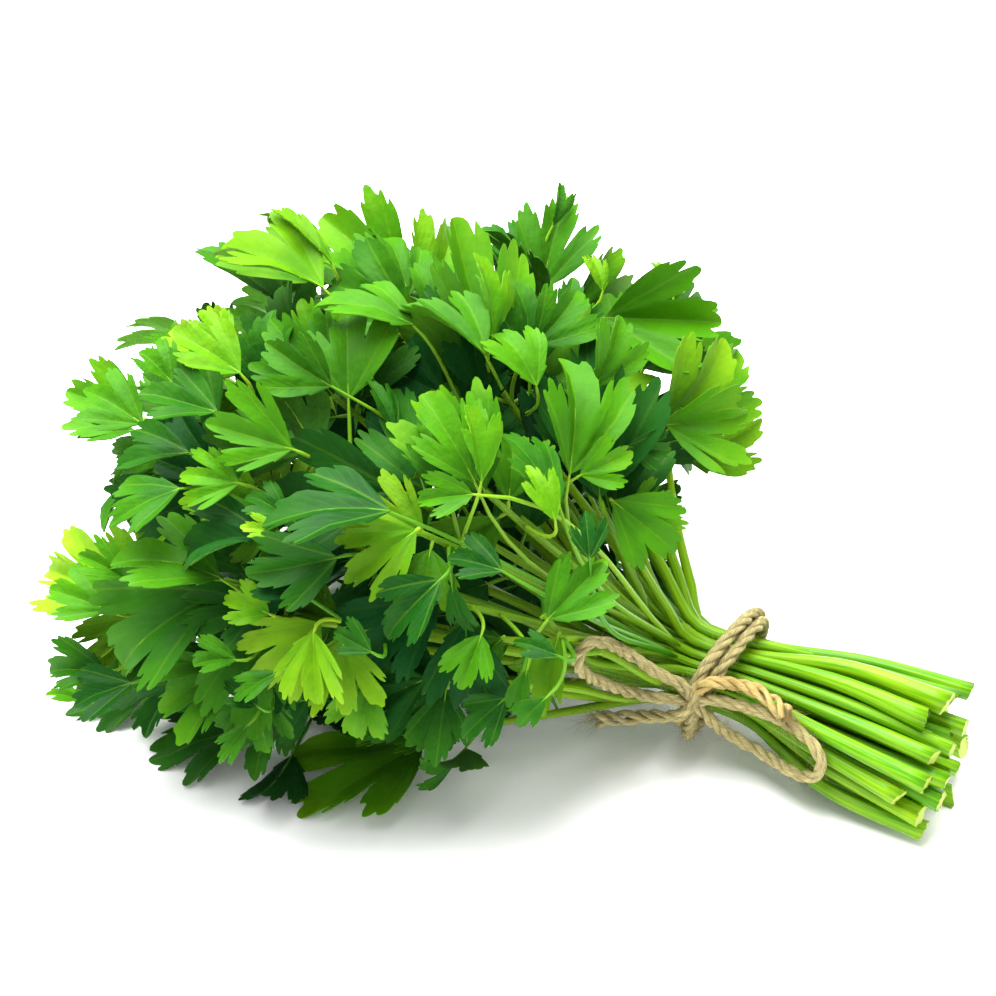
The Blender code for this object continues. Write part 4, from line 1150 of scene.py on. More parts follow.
def knot_exit(knot_across, knot_up, angle):
    """Where a strand leaves the knot, just off its surface, at this angle as it shows."""
    turn = math.radians(angle)
    off = KNOT_RADIUS + KNOT_GAP
    return knot_across + off * math.cos(turn), knot_up + off * math.sin(turn)


def turn_line(ring, side):
    """The middle of one turn of twine round the bundle."""
    line = []
    for k in range(TURN_STEPS + 1):
        turn = math.tau * k / TURN_STEPS
        y = ring * math.cos(turn)
        z = ring * math.sin(turn)
        line.append(Vector((side * TURN_SPACING + TURN_SLOPE[0] * y + TURN_SLOPE[1] * z, y, z)))
    return line


def plan_twine(stems, radii):
    """Turns, knot and bow, laid on the stems."""
    reach = 0.0
    for line, radius in zip(stems, radii):
        reach = max(reach, max(math.hypot(p.y, p.z) + r for p, r in zip(line[2:4], radius[2:4])))
    ring = reach + TWINE_GAP + TWINE_RADIUS + 0.3
    knot_y = math.cos(KNOT_ANGLE) * (ring + KNOT_LIFT)
    knot_z = math.sin(KNOT_ANGLE) * (ring + KNOT_LIFT)
    knot = Vector((TURN_SLOPE[0] * knot_y + TURN_SLOPE[1] * knot_z, knot_y, knot_z))
    knot_out = knot.dot(OUT)
    knot_across, knot_up = as_shown(knot)
    routes = {
        "twine_loop_left": BOW_LEFT,
        "twine_loop_right": BOW_RIGHT,
        "twine_tail_left": TAIL_LEFT,
        "twine_tail_right": TAIL_RIGHT,
    }
    turns = [turn_line(ring, side) for side in (-0.5, 0.5)]
    lines = list(stems) + turns
    line_radii = [list(r) for r in radii] + [[TWINE_RADIUS] * len(turn) for turn in turns]
    cords = {}
    for name, route in routes.items():
        first, last = BOW_ENDS[name]
        flat = [knot_exit(knot_across, knot_up, first)] + list(route)
        if last is not None:
            flat.append(knot_exit(knot_across, knot_up, last))
        flat = smooth_line([Vector((across, up, 0.0)) for across, up in flat], 3.0)
        deepest = knot_out - (TAIL_SINK if last is None else LOOP_SINK)
        rest = [clear_depth(p.x, p.y, lines, line_radii, BOW_NEAREST, deepest) for p in flat]
        rest[0] = max(rest[0], knot_out)
        if last is not None:
            rest[-1] = max(rest[-1], knot_out)
        depths = list(rest)
        for _ in range(12):
            after = depths[1:] + [depths[-1]]
            before = [depths[0]] + depths[:-1]
            depths = [max(r, (p + q) * 0.5) for r, p, q in zip(rest, before, after)]
        line = smooth_line([show_point(p.x, p.y, d) for p, d in zip(flat, depths)], CORD_STEP)
        lift_clear(line, lines, line_radii)
        cords[name] = line
        lines.append(line)
        line_radii.append([TWINE_RADIUS] * len(line))
    return SimpleNamespace(ring=ring, knot=knot, cords=cords)


# Room and camera

def make_camera():
    data = bpy.data.cameras.new("camera")
    data.lens = LENS
    data.sensor_width = SENSOR
    data.clip_start = 0.01
    camera = bpy.data.objects.new("camera", data)
    aim = MIDDLE + (ACROSS * SHOW_CENTRE[0] + UP * SHOW_CENTRE[1]) * MM
    camera.location = aim + OUT * (SHOW_DISTANCE * MM)
    camera.rotation_euler = (-OUT).to_track_quat("-Z", "Y").to_euler()
    bpy.context.scene.collection.objects.link(camera)
    bpy.context.scene.camera = camera


def make_light(name, kind, place, aim, energy, size):
    data = bpy.data.lights.new(name, kind)
    data.energy = energy
    data.size = size
    light = bpy.data.objects.new(name, data)
    light.location = place
    light.rotation_euler = (Vector(aim) - Vector(place)).to_track_quat("-Z", "Y").to_euler()
    bpy.context.scene.collection.objects.link(light)


def make_room():
    """Plain pale floor, bright even surroundings, and a soft light above and behind on the left."""
    bm = bmesh.new()
    bmesh.ops.create_grid(bm, x_segments=1, y_segments=1, size=FLOOR_SIZE / 2)
    mesh = bpy.data.meshes.new("floor")
    bm.to_mesh(mesh)
    bm.free()
    floor = bpy.data.objects.new("floor", mesh)
    paint = Paint("floor")
    paint.close(paint.node("BsdfPrincipled", {}, {"Base Color": FLOOR_COLOUR, "Roughness": 0.9}))
    mesh.materials.append(paint.material)
    bpy.context.scene.collection.objects.link(floor)
    world = bpy.data.worlds.new("room")
    world.use_nodes = True
    world.node_tree.nodes["Background"].inputs["Color"].default_value = (1.0, 1.0, 1.0, 1.0)
    world.node_tree.nodes["Background"].inputs["Strength"].default_value = ROOM_BRIGHTNESS
    bpy.context.scene.world = world
    make_light("key", "AREA", KEY_PLACE, (0.0, 0.0, 0.05), KEY_POWER, KEY_SIZE)
    bpy.context.scene.view_settings.view_transform = "Standard"


# Shader maths

class Value:
    """One socket of a material. Sums and products of it add their Math nodes."""

    def __init__(self, paint, socket):
        self.paint = paint
        self.socket = socket

    def output(self, name):
        return Value(self.paint, self.socket.node.outputs[name])

    def maths(self, operation, first, second=0.0):
        return self.paint.node("Math", {"operation": operation}, {0: first, 1: second})

    def __add__(self, other):
        return self.maths("ADD", self, other)

    __radd__ = __add__

    def __sub__(self, other):
        return self.maths("SUBTRACT", self, other)

    def __rsub__(self, other):
        return self.maths("SUBTRACT", other, self)

    def __mul__(self, other):
        return self.maths("MULTIPLY", self, other)

    __rmul__ = __mul__

    def __truediv__(self, other):
        return self.maths("DIVIDE", self, other)

    def __abs__(self):
        return self.maths("ABSOLUTE", self)

    def fades(self, start, end):
        """1 up to the start, 0 from the end on, and smooth between."""
        return self.paint.node(
            "MapRange", {"interpolation_type": "SMOOTHSTEP"},
            {"Value": self, "From Min": start, "From Max": end, "To Min": 1.0, "To Max": 0.0},
        )


class Paint:
    """One material and its nodes."""

    def __init__(self, name):
        self.material = bpy.data.materials.new(name)
        self.material.use_nodes = True
        self.tree = self.material.node_tree
        self.tree.nodes.clear()

    def node(self, kind, settings, sockets):
        made = self.tree.nodes.new("ShaderNode" + kind)
        for name, value in settings.items():
            if name == "stops":
                set_stops(made.color_ramp, value)
            else:
                setattr(made, name, value)
        for name, value in sockets.items():
            if isinstance(value, Value):
                self.tree.links.new(value.socket, made.inputs[name])
            else:
                made.inputs[name].default_value = value
        return Value(self, next((socket for socket in made.outputs if socket.enabled), None))

    def attribute(self, name):
        return self.node("Attribute", {"attribute_name": name}, {}).output("Fac")

    def mix(self, share, low, high):
        return self.node("Mix", {"data_type": "RGBA"}, {0: share, 6: low, 7: high})

    def noise(self, where, scale, detail, seed):
        sockets = {"Vector": where, "W": seed, "Scale": scale, "Detail": detail}
        return self.node("TexNoise", {"noise_dimensions": "4D"}, sockets)

    def close(self, shader):
        self.node("OutputMaterial", {}, {"Surface": shader})


def set_stops(ramp, stops):
    while len(ramp.elements) < len(stops):
        ramp.elements.new(1.0)
    for element, (place, colour) in zip(ramp.elements, stops):
        element.position = place
        element.color = colour


# Materials

def leaf_paint(name, glow_colour):
    """Blade: tone by age, a fan of paler veins with the surface raised between them, paler below, and shade
    painted darker where the bunch shelters it.
    """
    paint = Paint(name)
    where = paint.node("UVMap", {"uv_map": "Shape"}, {})
    x = paint.node("SeparateXYZ", {}, {0: where})
    y = x.output("Y")
    youth = paint.attribute("youth")
    shade = paint.attribute("shade")
    under = paint.attribute("under")
    deep = paint.attribute("deep")
    seed = shade * 30.0
    patches = paint.noise(where, 3.0, 3.0, seed)
    grain = paint.noise(where, 38.0, 2.0, seed)
    out = x.maths("SQRT", x * x + y * y)
    angle = abs(x.maths("ARCTAN2", x, y))
    off = x.maths("MINIMUM", angle, abs(angle - VEIN_SPREAD))
    ahead = out * x.maths("COSINE", off)
    beside = out * x.maths("SINE", off)
    main = (beside - 0.006 * (1.1 - out)).fades(0.0, 0.012)
    run = ahead - beside * 2.1 + (patches - 0.5) * 0.10
    between = x.maths("PINGPONG", run, 0.062)
    small = between.fades(0.0, 0.018) * (1.2 - out)
    veins = x.maths("MAXIMUM", main * 0.8, small * 0.3)
    wrinkles = paint.noise(where, 9.0, 2.0, seed)
    # Tone rises towards the tips: partly the leaflet's own lighter tips, partly a painted highlight near them
    tone = youth * 0.84 + (shade - 0.5) * 0.16 + (patches - 0.5) * 0.36 + (out - 0.5) * 0.20
    colour = paint.node("ValToRGB", {"stops": LEAF_STOPS}, {0: tone})
    colour = paint.mix(veins * 0.22, colour, VEIN_COLOUR)
    colour = paint.mix(under * 0.45, colour, UNDER_COLOUR)
    # Painted shade: darker deep inside the bunch, less so on young leaflets; the same value takes off the coat and
    # the glow there
    colour = paint.mix(deep * (1.0 - youth * PAINTED_SHADE_EASED_ON_YOUNG) * 0.92, colour, PAINTED_SHADE_COLOUR)
    height = between * 1.5 - veins * 0.2 + grain * 0.14 + patches * 2.4 + wrinkles * 1.2
    bump = paint.node("Bump", {}, {"Strength": 0.5, "Distance": 0.0007, "Height": height})
    body = paint.node("BsdfPrincipled", {}, {
        "Base Color": colour, "Roughness": 0.6, "Normal": bump, "Specular IOR Level": 0.04,
        "Coat Weight": (1.0 - deep) * 0.12, "Coat Roughness": 0.38,
    })
    glow = paint.node("BsdfTranslucent", {}, {"Color": glow_colour})
    share = (0.16 + youth * 0.08) * (1.0 - deep * 0.8)
    paint.close(paint.node("MixShader", {}, {0: share, 1: body, 2: glow}))
    return paint.material


def stem_paint():
    """Stem: glossy, streaked lengthwise, greener towards the leaves, pale at its cut, and with shade painted in
    where it lies deep in the bunch.
    """
    paint = Paint("stem")
    where = paint.node("UVMap", {"uv_map": "Shape"}, {})
    round_share = paint.node("SeparateXYZ", {}, {0: where})
    along = round_share.output("Y")
    youth = paint.attribute("youth")
    shade = paint.attribute("shade")
    cut = paint.attribute("cut")
    turn = round_share * math.tau
    ring = paint.node("CombineXYZ", {}, {
        "X": turn.maths("COSINE", turn) * 1.3,
        "Y": turn.maths("SINE", turn) * 1.3,
        "Z": along * 0.018,
    })
    streaks = paint.noise(ring, 3.0, 3.0, shade * 30.0)
    fan = (1.0 - along.fades(30.0, 110.0)) * along.fades(140.0, 230.0)
    share = youth * 0.35 + fan * 0.4 + (shade - 0.5) * 0.5 + (streaks - 0.5) * 2.4 + 0.22
    colour = paint.mix(share, STEM_DEEP, STEM_LIGHT)
    colour = paint.mix(along.fades(0.0, 60.0) * 0.10 + (streaks - 0.57) * 0.7, colour, STEM_PALE)
    rib = paint.mix(youth, RIB_DEEP, RIB_LIGHT)
    colour = paint.mix((along - 200.0) * 0.02, colour, rib)
    # Painted shade where the stem lies deep in the bunch
    colour = paint.mix(paint.attribute("deep") * 0.3, colour, PAINTED_SHADE_COLOUR)
    colour = paint.mix(cut, colour, CUT_COLOUR)
    bump = paint.node("Bump", {}, {"Strength": 0.35, "Distance": 0.0005, "Height": streaks})
    paint.close(paint.node("BsdfPrincipled", {}, {
        "Base Color": colour, "Roughness": 0.26 + streaks * 0.12 + cut * 0.25, "Normal": bump,
        "Specular IOR Level": 0.16,
    }))
    return paint.material


def twine_paint():
    """Jute: fine fibres that run along each ply, from dull brown to pale straw."""
    paint = Paint("jute")
    where = paint.node("UVMap", {"uv_map": "Shape"}, {})
    round_share = paint.node("SeparateXYZ", {}, {0: where})
    along = round_share.output("Y")
    warm = paint.attribute("warm")
    turn = round_share * math.tau + along * 0.55
    ring = paint.node("CombineXYZ", {}, {
        "X": turn.maths("COSINE", turn) * 2.4,
        "Y": turn.maths("SINE", turn) * 2.4,
        "Z": along * 0.13,
    })
    fibres = paint.noise(ring, 3.2, 4.0, 0.0)
    patches = paint.noise(paint.node("TexCoord", {}, {}).output("Object"), 160.0, 2.0, 0.0)
    share = (fibres - 0.34) * 2.8 + (patches - 0.5) * 0.5
    colour = paint.mix(share, TWINE_DARK, TWINE_LIGHT)
    colour = paint.mix(warm * 0.3, colour, TWINE_WARM)
    bump = paint.node("Bump", {}, {"Strength": 1.0, "Distance": 0.0008, "Height": fibres})
    paint.close(paint.node("BsdfPrincipled", {}, {
        "Base Color": colour, "Roughness": 0.85, "Normal": bump, "Specular IOR Level": 0.25,
    }))
    return paint.material


# Finer leaflets

def draw_half(cut, rng):
    """Lobes and teeth of one half of a blade: no two are cut alike."""
    notch = rng.uniform(*NOTCH_REACH[cut])
    change = rng.uniform(-LOBE_CHANGE, LOBE_CHANGE)
    swing = rng.uniform(*LOBE_SWING)
    lobes = []
    for angle, reach in OUTLINES[cut]:
        reach = (notch if reach is None else reach) * (1.0 + change * min(angle / 20.0, 1.0))
        lobes.append((angle * swing, reach))
    marks = [angle * swing + rng.uniform(-TEETH_SHIFT, TEETH_SHIFT) * (angle > 0) for angle in TEETH[cut]]
    depths = [rng.uniform(*TOOTH_DEPTH) for _ in marks[2:]] + [0.02]
    return SimpleNamespace(lobes=lobes, teeth=list(zip(marks, marks[1:], depths)))


def reach_at(angle, half):
    """How far a blade reaches at this angle off its rib: its lobes, with rounded teeth on them."""
    reach = float(np.interp(angle, [key[0] for key in half.lobes], [key[1] for key in half.lobes]))
    for start, end, depth in half.teeth:
        if start <= angle < end:
            share = (angle + end) / (2.0 * end) if start == 0 else (angle - start) / (end - start)
            return reach * (1.0 - depth * (1.0 - math.sin(math.pi * share) ** TOOTH_ROUNDNESS))
    return reach


def toothed_template(cut, rng):
    """Flat prism of a finely cut blade, laid out as blade_template is."""
    halves = {hand: draw_half(cut, rng) for hand in (-1, 1)}
    edge = math.radians(OUTLINES[cut][-1][0])
    bm = bmesh.new()
    under = bm.verts.layers.float.new("under")
    chain = [bm.verts.new((-math.sin(edge) * v, math.cos(edge) * v, 0.0)) for v in ALONG_BLADE]
    rays = [bm.edges.new(pair) for pair in zip(chain, chain[1:])]
    bmesh.ops.spin(
        bm, geom=chain + rays, axis=(0.0, 0.0, -1.0), cent=(0.0, 0.0, 0.0), angle=2.0 * edge,
        steps=EDGE_STEPS,
    )
    bmesh.ops.remove_doubles(bm, verts=bm.verts[:], dist=0.0001)
    for vert in bm.verts:
        out = math.hypot(vert.co.x, vert.co.y)
        turn = math.atan2(vert.co.x, vert.co.y)
        reach = reach_at(abs(math.degrees(turn)), halves[1 if turn > 0.0 else -1])
        inner = min(INNER_REACH, reach * 1.3)
        r = out * (inner * (1.0 - out * out) + reach * out * out)
        vert.co = (r * math.sin(turn), r * math.cos(turn), 0.0)
    lifted = bmesh.ops.extrude_face_region(bm, geom=bm.faces[:], use_keep_orig=True)
    top = [item for item in lifted["geom"] if isinstance(item, bmesh.types.BMVert)]
    bmesh.ops.translate(bm, verts=top, vec=(0.0, 0.0, 1.0))
    bmesh.ops.recalc_face_normals(bm, faces=bm.faces[:])
    bm.normal_update()
    shape = bm.loops.layers.uv.new("Shape")
    for vert in bm.verts:
        vert[under] = 1.0 - vert.co.z
    for face in bm.faces:
        face.smooth = True
        for loop in face.loops:
            loop[shape].uv = (loop.vert.co.x, loop.vert.co.y)
    for made in bm.edges:
        made.smooth = len({abs(face.normal.z) > 0.5 for face in made.link_faces}) == 1
    return bm


def draw_look(rng):
    """How one leaflet waves and curls, and its own shade."""
    return SimpleNamespace(
        ripple=rng.uniform(*RIPPLE), turns=rng.uniform(3.0, 7.0), phase=rng.uniform(0.0, math.tau),
        curl=rng.uniform(*CURL), crease=rng.uniform(0.5, 1.3) * CREASE, twist=rng.gauss(0.0, TWIST),
        fold=rng.uniform(*EXTRA_FOLD), shade=rng.random(),
    )


def leafy_point(leaf, look, x, y, lift):
    """A point of the blade as blade_point bends it, with its creases, puckers, waves and curled tips."""
    out = math.hypot(x, max(y, 0.0))
    turn = math.atan2(x, max(y, 0.001))
    crease = look.crease * out * (1.0 - math.cos(math.tau * turn / VEIN_SPREAD)) * 0.5
    ripple = look.ripple * out * out * math.sin(turn * look.turns + look.phase + out * 3.0)
    pucker = PUCKER * min(out * 2.0, 1.0) * noise(Vector((x, y, look.phase)) * PUCKER_SCALE)
    curl = look.curl * max(out - 0.45, 0.0) ** 2
    bent = look.twist * x * y + look.fold * abs(x)
    return blade_point(leaf, x, y, lift + (crease + ripple + pucker + bent - curl) * leaf.size)


def add_leaflet(bm, leaf, look, template):
    """One leaflet added to its stalk: blade, stalklet and the rib that runs on from it."""
    blade = template.copy()
    youth = blade.verts.layers.float.new("youth")
    shade = blade.verts.layers.float.new("shade")
    deep = blade.verts.layers.float.new("deep")
    for vert in blade.verts:
        x, y, z = vert.co
        vert.co = leafy_point(leaf, look, x, y, (z - 0.5) * LEAF_THICKNESS)
        vert[youth] = leaf.youth
        vert[shade] = look.shade
        # Painted shade, from the shelter at the base, middle and tip of the blade
        vert[deep] = float(np.interp(math.hypot(x, y), SHELTER_SPOTS, leaf.shelter))
    for face in blade.faces:
        face.material_index = YOUNG if leaf.youth > YOUNG_FROM else GROWN
    mesh = bpy.data.meshes.new("blade")
    blade.to_mesh(mesh)
    blade.free()
    bm.from_mesh(mesh)
    bpy.data.meshes.remove(mesh)
    if leaf.root:
        places = stalklet_line(leaf)[:-1]
        root_radius = LONG_RADIUS if leaf.long else STALKLET_RADII[0]
    else:
        places = [blade_point(leaf, 0.0, -leaf.stalklet * share, 0.0) for share in (1.0, 0.6, 0.2)]
        root_radius = STALKLET_RADII[0]
    line = []
    for i, place in enumerate(places):
        radius = root_radius + (STALKLET_RADII[1] - root_radius) * i / len(places)
        line.append(Vector((*place, radius)))
    line[0].w *= 0.4
    for k in range(7):
        radius = RIB_RADII[0] + (RIB_RADII[1] - RIB_RADII[0]) * k / 6
        sink = -RIB_SINK * min(k / 2, 1.0)
        line.append(Vector((*leafy_point(leaf, look, 0.0, 0.02 + RIB_REACH * k / 6, sink), radius)))
    for vert in carry(bm, line, RIB_SIDES, even, STEM, BEYOND_STEM):
        vert[bm.verts.layers.float["youth"]] = leaf.youth
        vert[bm.verts.layers.float["shade"]] = look.shade
        # The rib takes a share of the painted shade at the blade's base
        vert[bm.verts.layers.float["deep"]] = leaf.shelter[0] * 0.7


# Shelter of leaves and stems inside the bunch, which sets the shade painted into their colour

def shelter_ways():
    """Ways out from a place, evenly spread, in which shelter is looked for."""
    golden = math.pi * (3.0 - math.sqrt(5.0))
    ways = []
    for k in range(SHELTER_WAYS):
        z = 1.0 - (1.0 - SHELTER_LOWEST) * (k + 0.5) / SHELTER_WAYS
        flat = math.sqrt(1.0 - z * z)
        ways.append(Vector((flat * math.cos(k * golden), flat * math.sin(k * golden), z)))
    return ways


SHELTER_LINES = shelter_ways()


def shelter_at(place, off, tree):
    """0 at the outside of the bunch, 1 deep inside it. Looked for from this far off the place."""
    met = sum(1 for way in SHELTER_LINES if tree.ray_cast(place + way * off, way, SHELTER_REACH)[0])
    share = (met / SHELTER_WAYS - SHELTER_FROM) / (SHELTER_TO - SHELTER_FROM)
    return min(max(share, 0.0), 1.0)


# Stems and anything else carried along a line

def run_along(points):
    """Each point of a line with the way ahead and two ways aside, which don't twist on the way."""
    side = Vector((0.31, 0.52, 0.79))
    for i, point in enumerate(points):
        ahead = (points[min(i + 1, len(points) - 1)] - points[max(i - 1, 0)]).normalized()
        side = (side - ahead * side.dot(ahead)).normalized()
        yield point, ahead, side, ahead.cross(side)


def even(i, walked, turn):
    """An even, round ring: the share of its radius, and how far it is pushed ahead."""
    return 1.0, 0.0


def carry(bm, line, sides, reach, slot, begin=0.0):
    """A ring carried along a line of points with radii. Returns its vertices, the first ring first."""
    around = bm.verts.layers.float["around"]
    along = bm.verts.layers.float["along"]
    ring = bmesh.ops.create_circle(bm, segments=sides, radius=1.0)["verts"]
    for vert in ring:
        vert[around] = math.atan2(vert.co.y, vert.co.x) / math.tau % 1.0
    edges = list({made for vert in ring for made in vert.link_edges})
    first = edges
    verts = []
    walked = begin
    centres = [point.xyz for point in line]
    for i, (centre, ahead, side, other) in enumerate(run_along(centres)):
        if i:
            made = bmesh.ops.extrude_edge_only(bm, edges=edges)["geom"]
            ring = [item for item in made if isinstance(item, bmesh.types.BMVert)]
            edges = [item for item in made if isinstance(item, bmesh.types.BMEdge)]
            walked += (centre - centres[i - 1]).length
        for vert in ring:
            turn = vert[around] * math.tau
            share, push = reach(i, walked, turn)
            out = side * math.cos(turn) + other * math.sin(turn)
            vert.co = centre + (out * share + ahead * push) * line[i].w
            vert[along] = walked
        verts += ring
    for rim in (first, edges):
        bmesh.ops.contextual_create(bm, geom=rim)
    for face in {face for vert in verts for face in vert.link_faces}:
        face.smooth = True
        face.material_index = slot
    return verts


def map_lines(bm, slot):
    """The map of what was carried along lines: its share round, and how far along in millimetres."""
    around = bm.verts.layers.float["around"]
    along = bm.verts.layers.float["along"]
    shape = bm.loops.layers.uv["Shape"]
    for face in bm.faces:
        if face.material_index != slot:
            continue
        shares = [loop.vert[around] for loop in face.loops]
        seam = max(shares) - min(shares) > 0.5
        for loop, share in zip(face.loops, shares):
            loop[shape].uv = (share + 1.0 if seam and share < 0.5 else share, loop.vert[along])


def add_stem(bm, stalk, tree, rng):
    """One ribbed stem, gutter-shaped and widened towards its slanted, pale cut."""
    line = list(stalk.line)
    if (line[0] - STRAY_CUT).length < 1.0:
        line[1] = line[0].lerp(line[2], 0.5)
    points = [Vector((*point, radius)) for point, radius in zip(line, stalk.radii)]
    gutter = rng.uniform(0.0, math.tau)
    depth = rng.uniform(*GUTTER_DEPTH) * rng.choice((0.4, 1.0))
    flare = rng.uniform(*CUT_FLARE)
    slant = rng.uniform(*CUT_SLANT)
    slant_way = rng.uniform(0.0, math.tau)
    phase = rng.uniform(0.0, math.tau)

    def reach(i, walked, turn):
        near = max(1.0 - walked / GUTTER_REACH, 0.0) ** 2
        off = (turn - gutter + math.pi) % math.tau - math.pi
        notch = 1.0 - depth * near * math.exp(-(off / 0.6) ** 2)
        wide = 1.0 + flare * near * abs(math.sin(turn - gutter))
        rib = 1.0 + RIB_HEIGHT * math.cos(STEM_RIBS * turn + phase)
        push = 0.0
        if i == 0:
            push = slant * math.cos(turn - slant_way) + 0.3 * noise(Vector((turn * 2.0, phase, 0.0)))
        return notch * wide * rib, push

    spots = [0.0]
    for start, end in zip(line, line[1:]):
        spots.append(spots[-1] + (end - start).length)
    # Painted shade along the stem, from its shelter in the bunch
    shelter = [
        shelter_at(point, (radius + BLADE_GAP) * 1.15, tree) for point, radius in zip(line, stalk.radii)
    ]
    deep = bm.verts.layers.float["deep"]
    verts = carry(bm, smooth_line(points, STEM_STEP), FINE_STEM_SIDES, reach, STEM)
    for vert in verts:
        vert[deep] = float(np.interp(vert[bm.verts.layers.float["along"]], spots, shelter))
    cap = [face for face in verts[0].link_faces if len(face.verts) == FINE_STEM_SIDES]
    bmesh.ops.inset_region(bm, faces=cap, thickness=CUT_RIM, use_even_offset=True)
    for face in cap:
        face.smooth = False
        for vert in face.verts:
            vert[bm.verts.layers.float["cut"]] = 1.0
    tone = rng.random()
    for vert in bm.verts:
        vert[bm.verts.layers.float["youth"]] = stalk.youth
        vert[bm.verts.layers.float["shade"]] = tone


def new_mesh(layers):
    """An empty mesh with these layers of numbers and the map named Shape."""
    bm = bmesh.new()
    for layer in layers:
        bm.verts.layers.float.new(layer)
    bm.loops.layers.uv.new("Shape")
    return bm


def place_piece(name, bm, paints, nodes=()):
    """A finished piece put in its place in the frame, on the body, for the nodes that it replaces."""
    bmesh.ops.recalc_face_normals(bm, faces=bm.faces[:])
    bmesh.ops.scale(bm, verts=bm.verts[:], vec=(MM, MM, MM))
    bmesh.ops.translate(bm, verts=bm.verts[:], vec=MIDDLE)
    for vert in bm.verts:
        if vert.co.z < LOWEST_LIFT:
            vert.co.z = LOWEST_LIFT * math.exp(vert.co.z / LOWEST_LIFT - 1.0)
    mesh = bpy.data.meshes.new(name)
    bm.to_mesh(mesh)
    bm.free()
    for paint in paints:
        mesh.materials.append(paint)
    piece = bpy.data.objects.new(name, mesh)
    bpy.context.scene.collection.objects.link(piece)
    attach(piece, "root")
    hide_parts(*nodes)
    return piece


def make_stalk(number, stalk, shapes, paints, tree):
    """The finer piece that stands for one stalk."""
    rng = random.Random(SEED * 1000 + number)
    bm = new_mesh(("around", "along", "under", "youth", "shade", "deep", "cut"))
    add_stem(bm, stalk, tree, rng)
    for leaf in stalk.leaves:
        # Shelter at three spots on each blade, for its painted shade
        leaf.shelter = [shelter_at(blade_point(leaf, 0.0, spot, 1.0), 0.0, tree) for spot in SHELTER_SPOTS]
        add_leaflet(bm, leaf, draw_look(rng), rng.choice(shapes[leaf.cut]))
    map_lines(bm, STEM)
    place_piece(f"leafy_stalk_{number:02d}", bm, paints, [f"stalk_{number:02d}"])


# Finer twine

def add_strand(bm, fuzz, points, rng, splay=0.0):
    """Plies laid up round each other along a line, and the loose fibres that stand off them."""
    phase = rng.uniform(0.0, math.tau)
    plies = [[] for _ in range(PLIES)]
    walked = 0.0
    for i, (point, ahead, side, other) in enumerate(run_along(points)):
        walked += (point - points[i - 1]).length if i else 0.0
        reach = (PLY_OUT + splay * (i / len(points)) ** 2) * TWINE_RADIUS
        for k, ply in enumerate(plies):
            lag = PLY_LAG * noise(Vector((walked * 0.08, k * 9.0, phase)))
            turn = phase + math.tau * (walked / PLY_PITCH + k / PLIES) + lag
            out = side * math.cos(turn) + other * math.sin(turn)
            swell = 1.0 + PLY_SWELL * noise(Vector((walked * 0.22, k * 7.0, phase)))
            ply.append(Vector((*(point + out * reach), PLY_RADIUS * TWINE_RADIUS * swell)))
            if rng.random() < FUZZ_PER_MM * PLY_STEP / PLIES:
                way = ahead * rng.choice((-1.0, 1.0)) + out * rng.uniform(0.2, 1.0)
                way += ahead.cross(out) * rng.uniform(-0.6, 0.6)
                start = point + out * ((PLY_OUT + PLY_RADIUS * 0.8) * TWINE_RADIUS)
                add_fibre(fuzz, start, way.normalized(), rng.uniform(*FUZZ_LENGTH), rng)
    for ply in plies:
        carry(bm, ply, PLY_SIDES, even, 0)


def add_fibre(bm, start, way, length, rng):
    """One loose fibre: thin, curved and tapering."""
    bend = Vector((rng.gauss(0.0, 0.4), rng.gauss(0.0, 0.4), rng.gauss(-0.1, 0.4)))
    line = []
    for share in (0.0, 0.35, 0.7, 1.0):
        place = start + (way + bend * share) * (length * share)
        line.append(Vector((*place, FUZZ_RADIUS * (1.0 - 0.6 * share))))
    carry(bm, line, 3, even, 0, rng.uniform(0.0, 40.0))


def add_fray(bm, points, count, spread, rng):
    """The cut end of a strand, come apart into its fibres."""
    ahead = (points[-1] - points[-3]).normalized()
    side = ahead.orthogonal().normalized()
    other = ahead.cross(side)
    for _ in range(count):
        off = math.sqrt(rng.random()) * TWINE_RADIUS * 0.9
        turn = rng.uniform(0.0, math.tau)
        start = points[-1] + (side * math.cos(turn) + other * math.sin(turn)) * off - ahead * rng.uniform(0.0, 3.0)
        way = ahead + side * rng.gauss(0.0, spread) + other * rng.gauss(0.0, spread)
        add_fibre(bm, start, way.normalized(), rng.uniform(*FRAY_LENGTH), rng)


def fine_turn(ring, side, rise=0.0, swing=0.0):
    """The middle of one turn of twine, from the knot round the bundle and back to the knot."""
    line = []
    steps = round(math.tau * ring / PLY_STEP)
    for k in range(steps + 1):
        share = k / steps
        turn = KNOT_ANGLE + math.tau * share
        off = min(share, 1.0 - share)
        close = max(1.0 - off / 0.10, 0.0) ** 2
        reach = ring + rise + KNOT_LIFT * 0.5 * close + TURN_WAVE * math.sin(turn * 5.0 + side * 4.0)
        y = reach * math.cos(turn)
        z = reach * math.sin(turn)
        x = side * TURN_SPACING * (1.0 - 0.5 * close) + TURN_SLOPE[0] * y + TURN_SLOPE[1] * z
        x += swing * math.cos(math.pi * share) * (1.0 - close)
        line.append(Vector((x, y, z)))
    return line


def eased(points, rounds):
    """The same line with its sharpest bends opened out."""
    for _ in range(rounds):
        middles = [(a + b * 2.0 + c) * 0.25 for a, b, c in zip(points, points[1:], points[2:])]
        points = [points[0]] + middles + [points[-1]]
    return points


def wrap_line(knot, tilt, wide, deep):
    """A strand that goes once round the knot."""
    across = ACROSS * math.cos(tilt) + UP * math.sin(tilt)
    line = []
    steps = round(math.pi * (wide + deep) / PLY_STEP)
    for k in range(steps + 1):
        turn = math.tau * k / steps - math.pi / 2
        line.append(knot + across * (wide * math.cos(turn)) + OUT * (deep * math.sin(turn)))
    return line


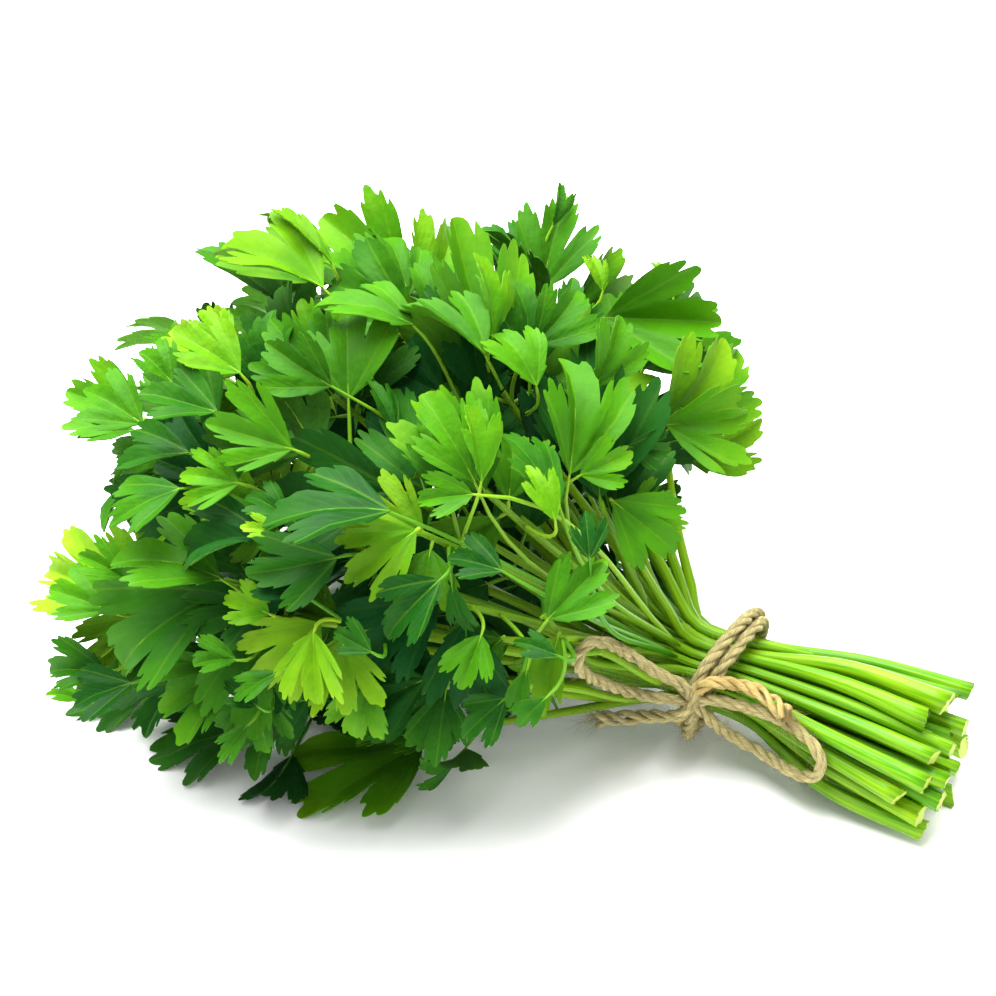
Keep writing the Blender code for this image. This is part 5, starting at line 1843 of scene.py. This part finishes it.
def make_tie(twine, paints):
    """The turns round the stems and the knot in front of them."""
    rng = random.Random(SEED)
    bm = new_mesh(("around", "along", "warm"))
    for side in (-0.5, 0.5):
        add_strand(bm, bm, fine_turn(twine.ring, side), rng)
    add_strand(bm, bm, fine_turn(twine.ring, 0.0, TOP_TURN_RISE, TOP_TURN_SWING), rng)
    knot = twine.knot + UP * 1.6
    add_strand(bm, bm, wrap_line(knot, math.radians(78), 3.3, 3.0), rng)
    add_strand(bm, bm, wrap_line(knot, math.radians(-20), 2.6, 2.2), rng)
    map_lines(bm, 0)
    place_piece("twine_turns_and_knot", bm, paints, ["twine_tie"])


def make_cord(name, twine, paints):
    """One free stretch of the bow, from inside the knot."""
    rng = random.Random(SEED + len(name))
    route = twine.cords[name]
    loop = BOW_ENDS[name][1] is not None
    points = [twine.knot.lerp(route[0], 0.25)] + list(route)
    if loop:
        points.append(twine.knot.lerp(route[-1], 0.25))
    points = eased(smooth_line(points, PLY_STEP), EASING_ROUNDS)
    bm = new_mesh(("around", "along", "warm"))
    fuzz = new_mesh(("around", "along", "warm"))
    add_strand(bm, fuzz, points, rng, 0.0 if loop else PLY_SPLAY)
    if not loop:
        add_fray(fuzz, points, FRAY_FIBRES[name], FRAY_SPREAD[name], rng)
    for part in (bm, fuzz):
        map_lines(part, 0)
        warm = part.verts.layers.float["warm"]
        for vert in part.verts:
            vert[warm] = float(name == WARM_TAIL)
    piece = place_piece(name.replace("twine", "bow"), bm, paints, [name])
    fibres = place_piece(name.replace("twine", "fibres"), fuzz, paints)
    path = [MIDDLE + point * MM for point in points]
    length = sum((b - a).length for a, b in zip(path, path[1:]))


# Everything

def middle_of_tie(ring):
    """Where the middle of the tie, from which the plan measures, is in the frame."""
    low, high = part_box("twine_tie")
    side = (ring + TWINE_RADIUS) * math.cos(math.pi / TURN_STEPS) * MM
    return Vector(((low.x + high.x) / 2, high.y - side, TIE_HEIGHT * MM))


stalks, twine, tree = plan_bunch()
MIDDLE = middle_of_tie(twine.ring)
make_camera()
make_room()
jute = [twine_paint()]
for name in twine.cords:
    make_cord(name, twine, jute)
make_tie(twine, jute)
paints = [leaf_paint("grown_blade", OLD_GLOW), stem_paint(), leaf_paint("young_blade", YOUNG_GLOW)]
rng = random.Random(SEED)
shapes = {cut: [toothed_template(cut, rng) for _ in range(SHAPES_PER_CUT)] for cut in OUTLINES}
for number, stalk in enumerate(stalks, start=1):
    make_stalk(number, stalk, shapes, paints, tree)
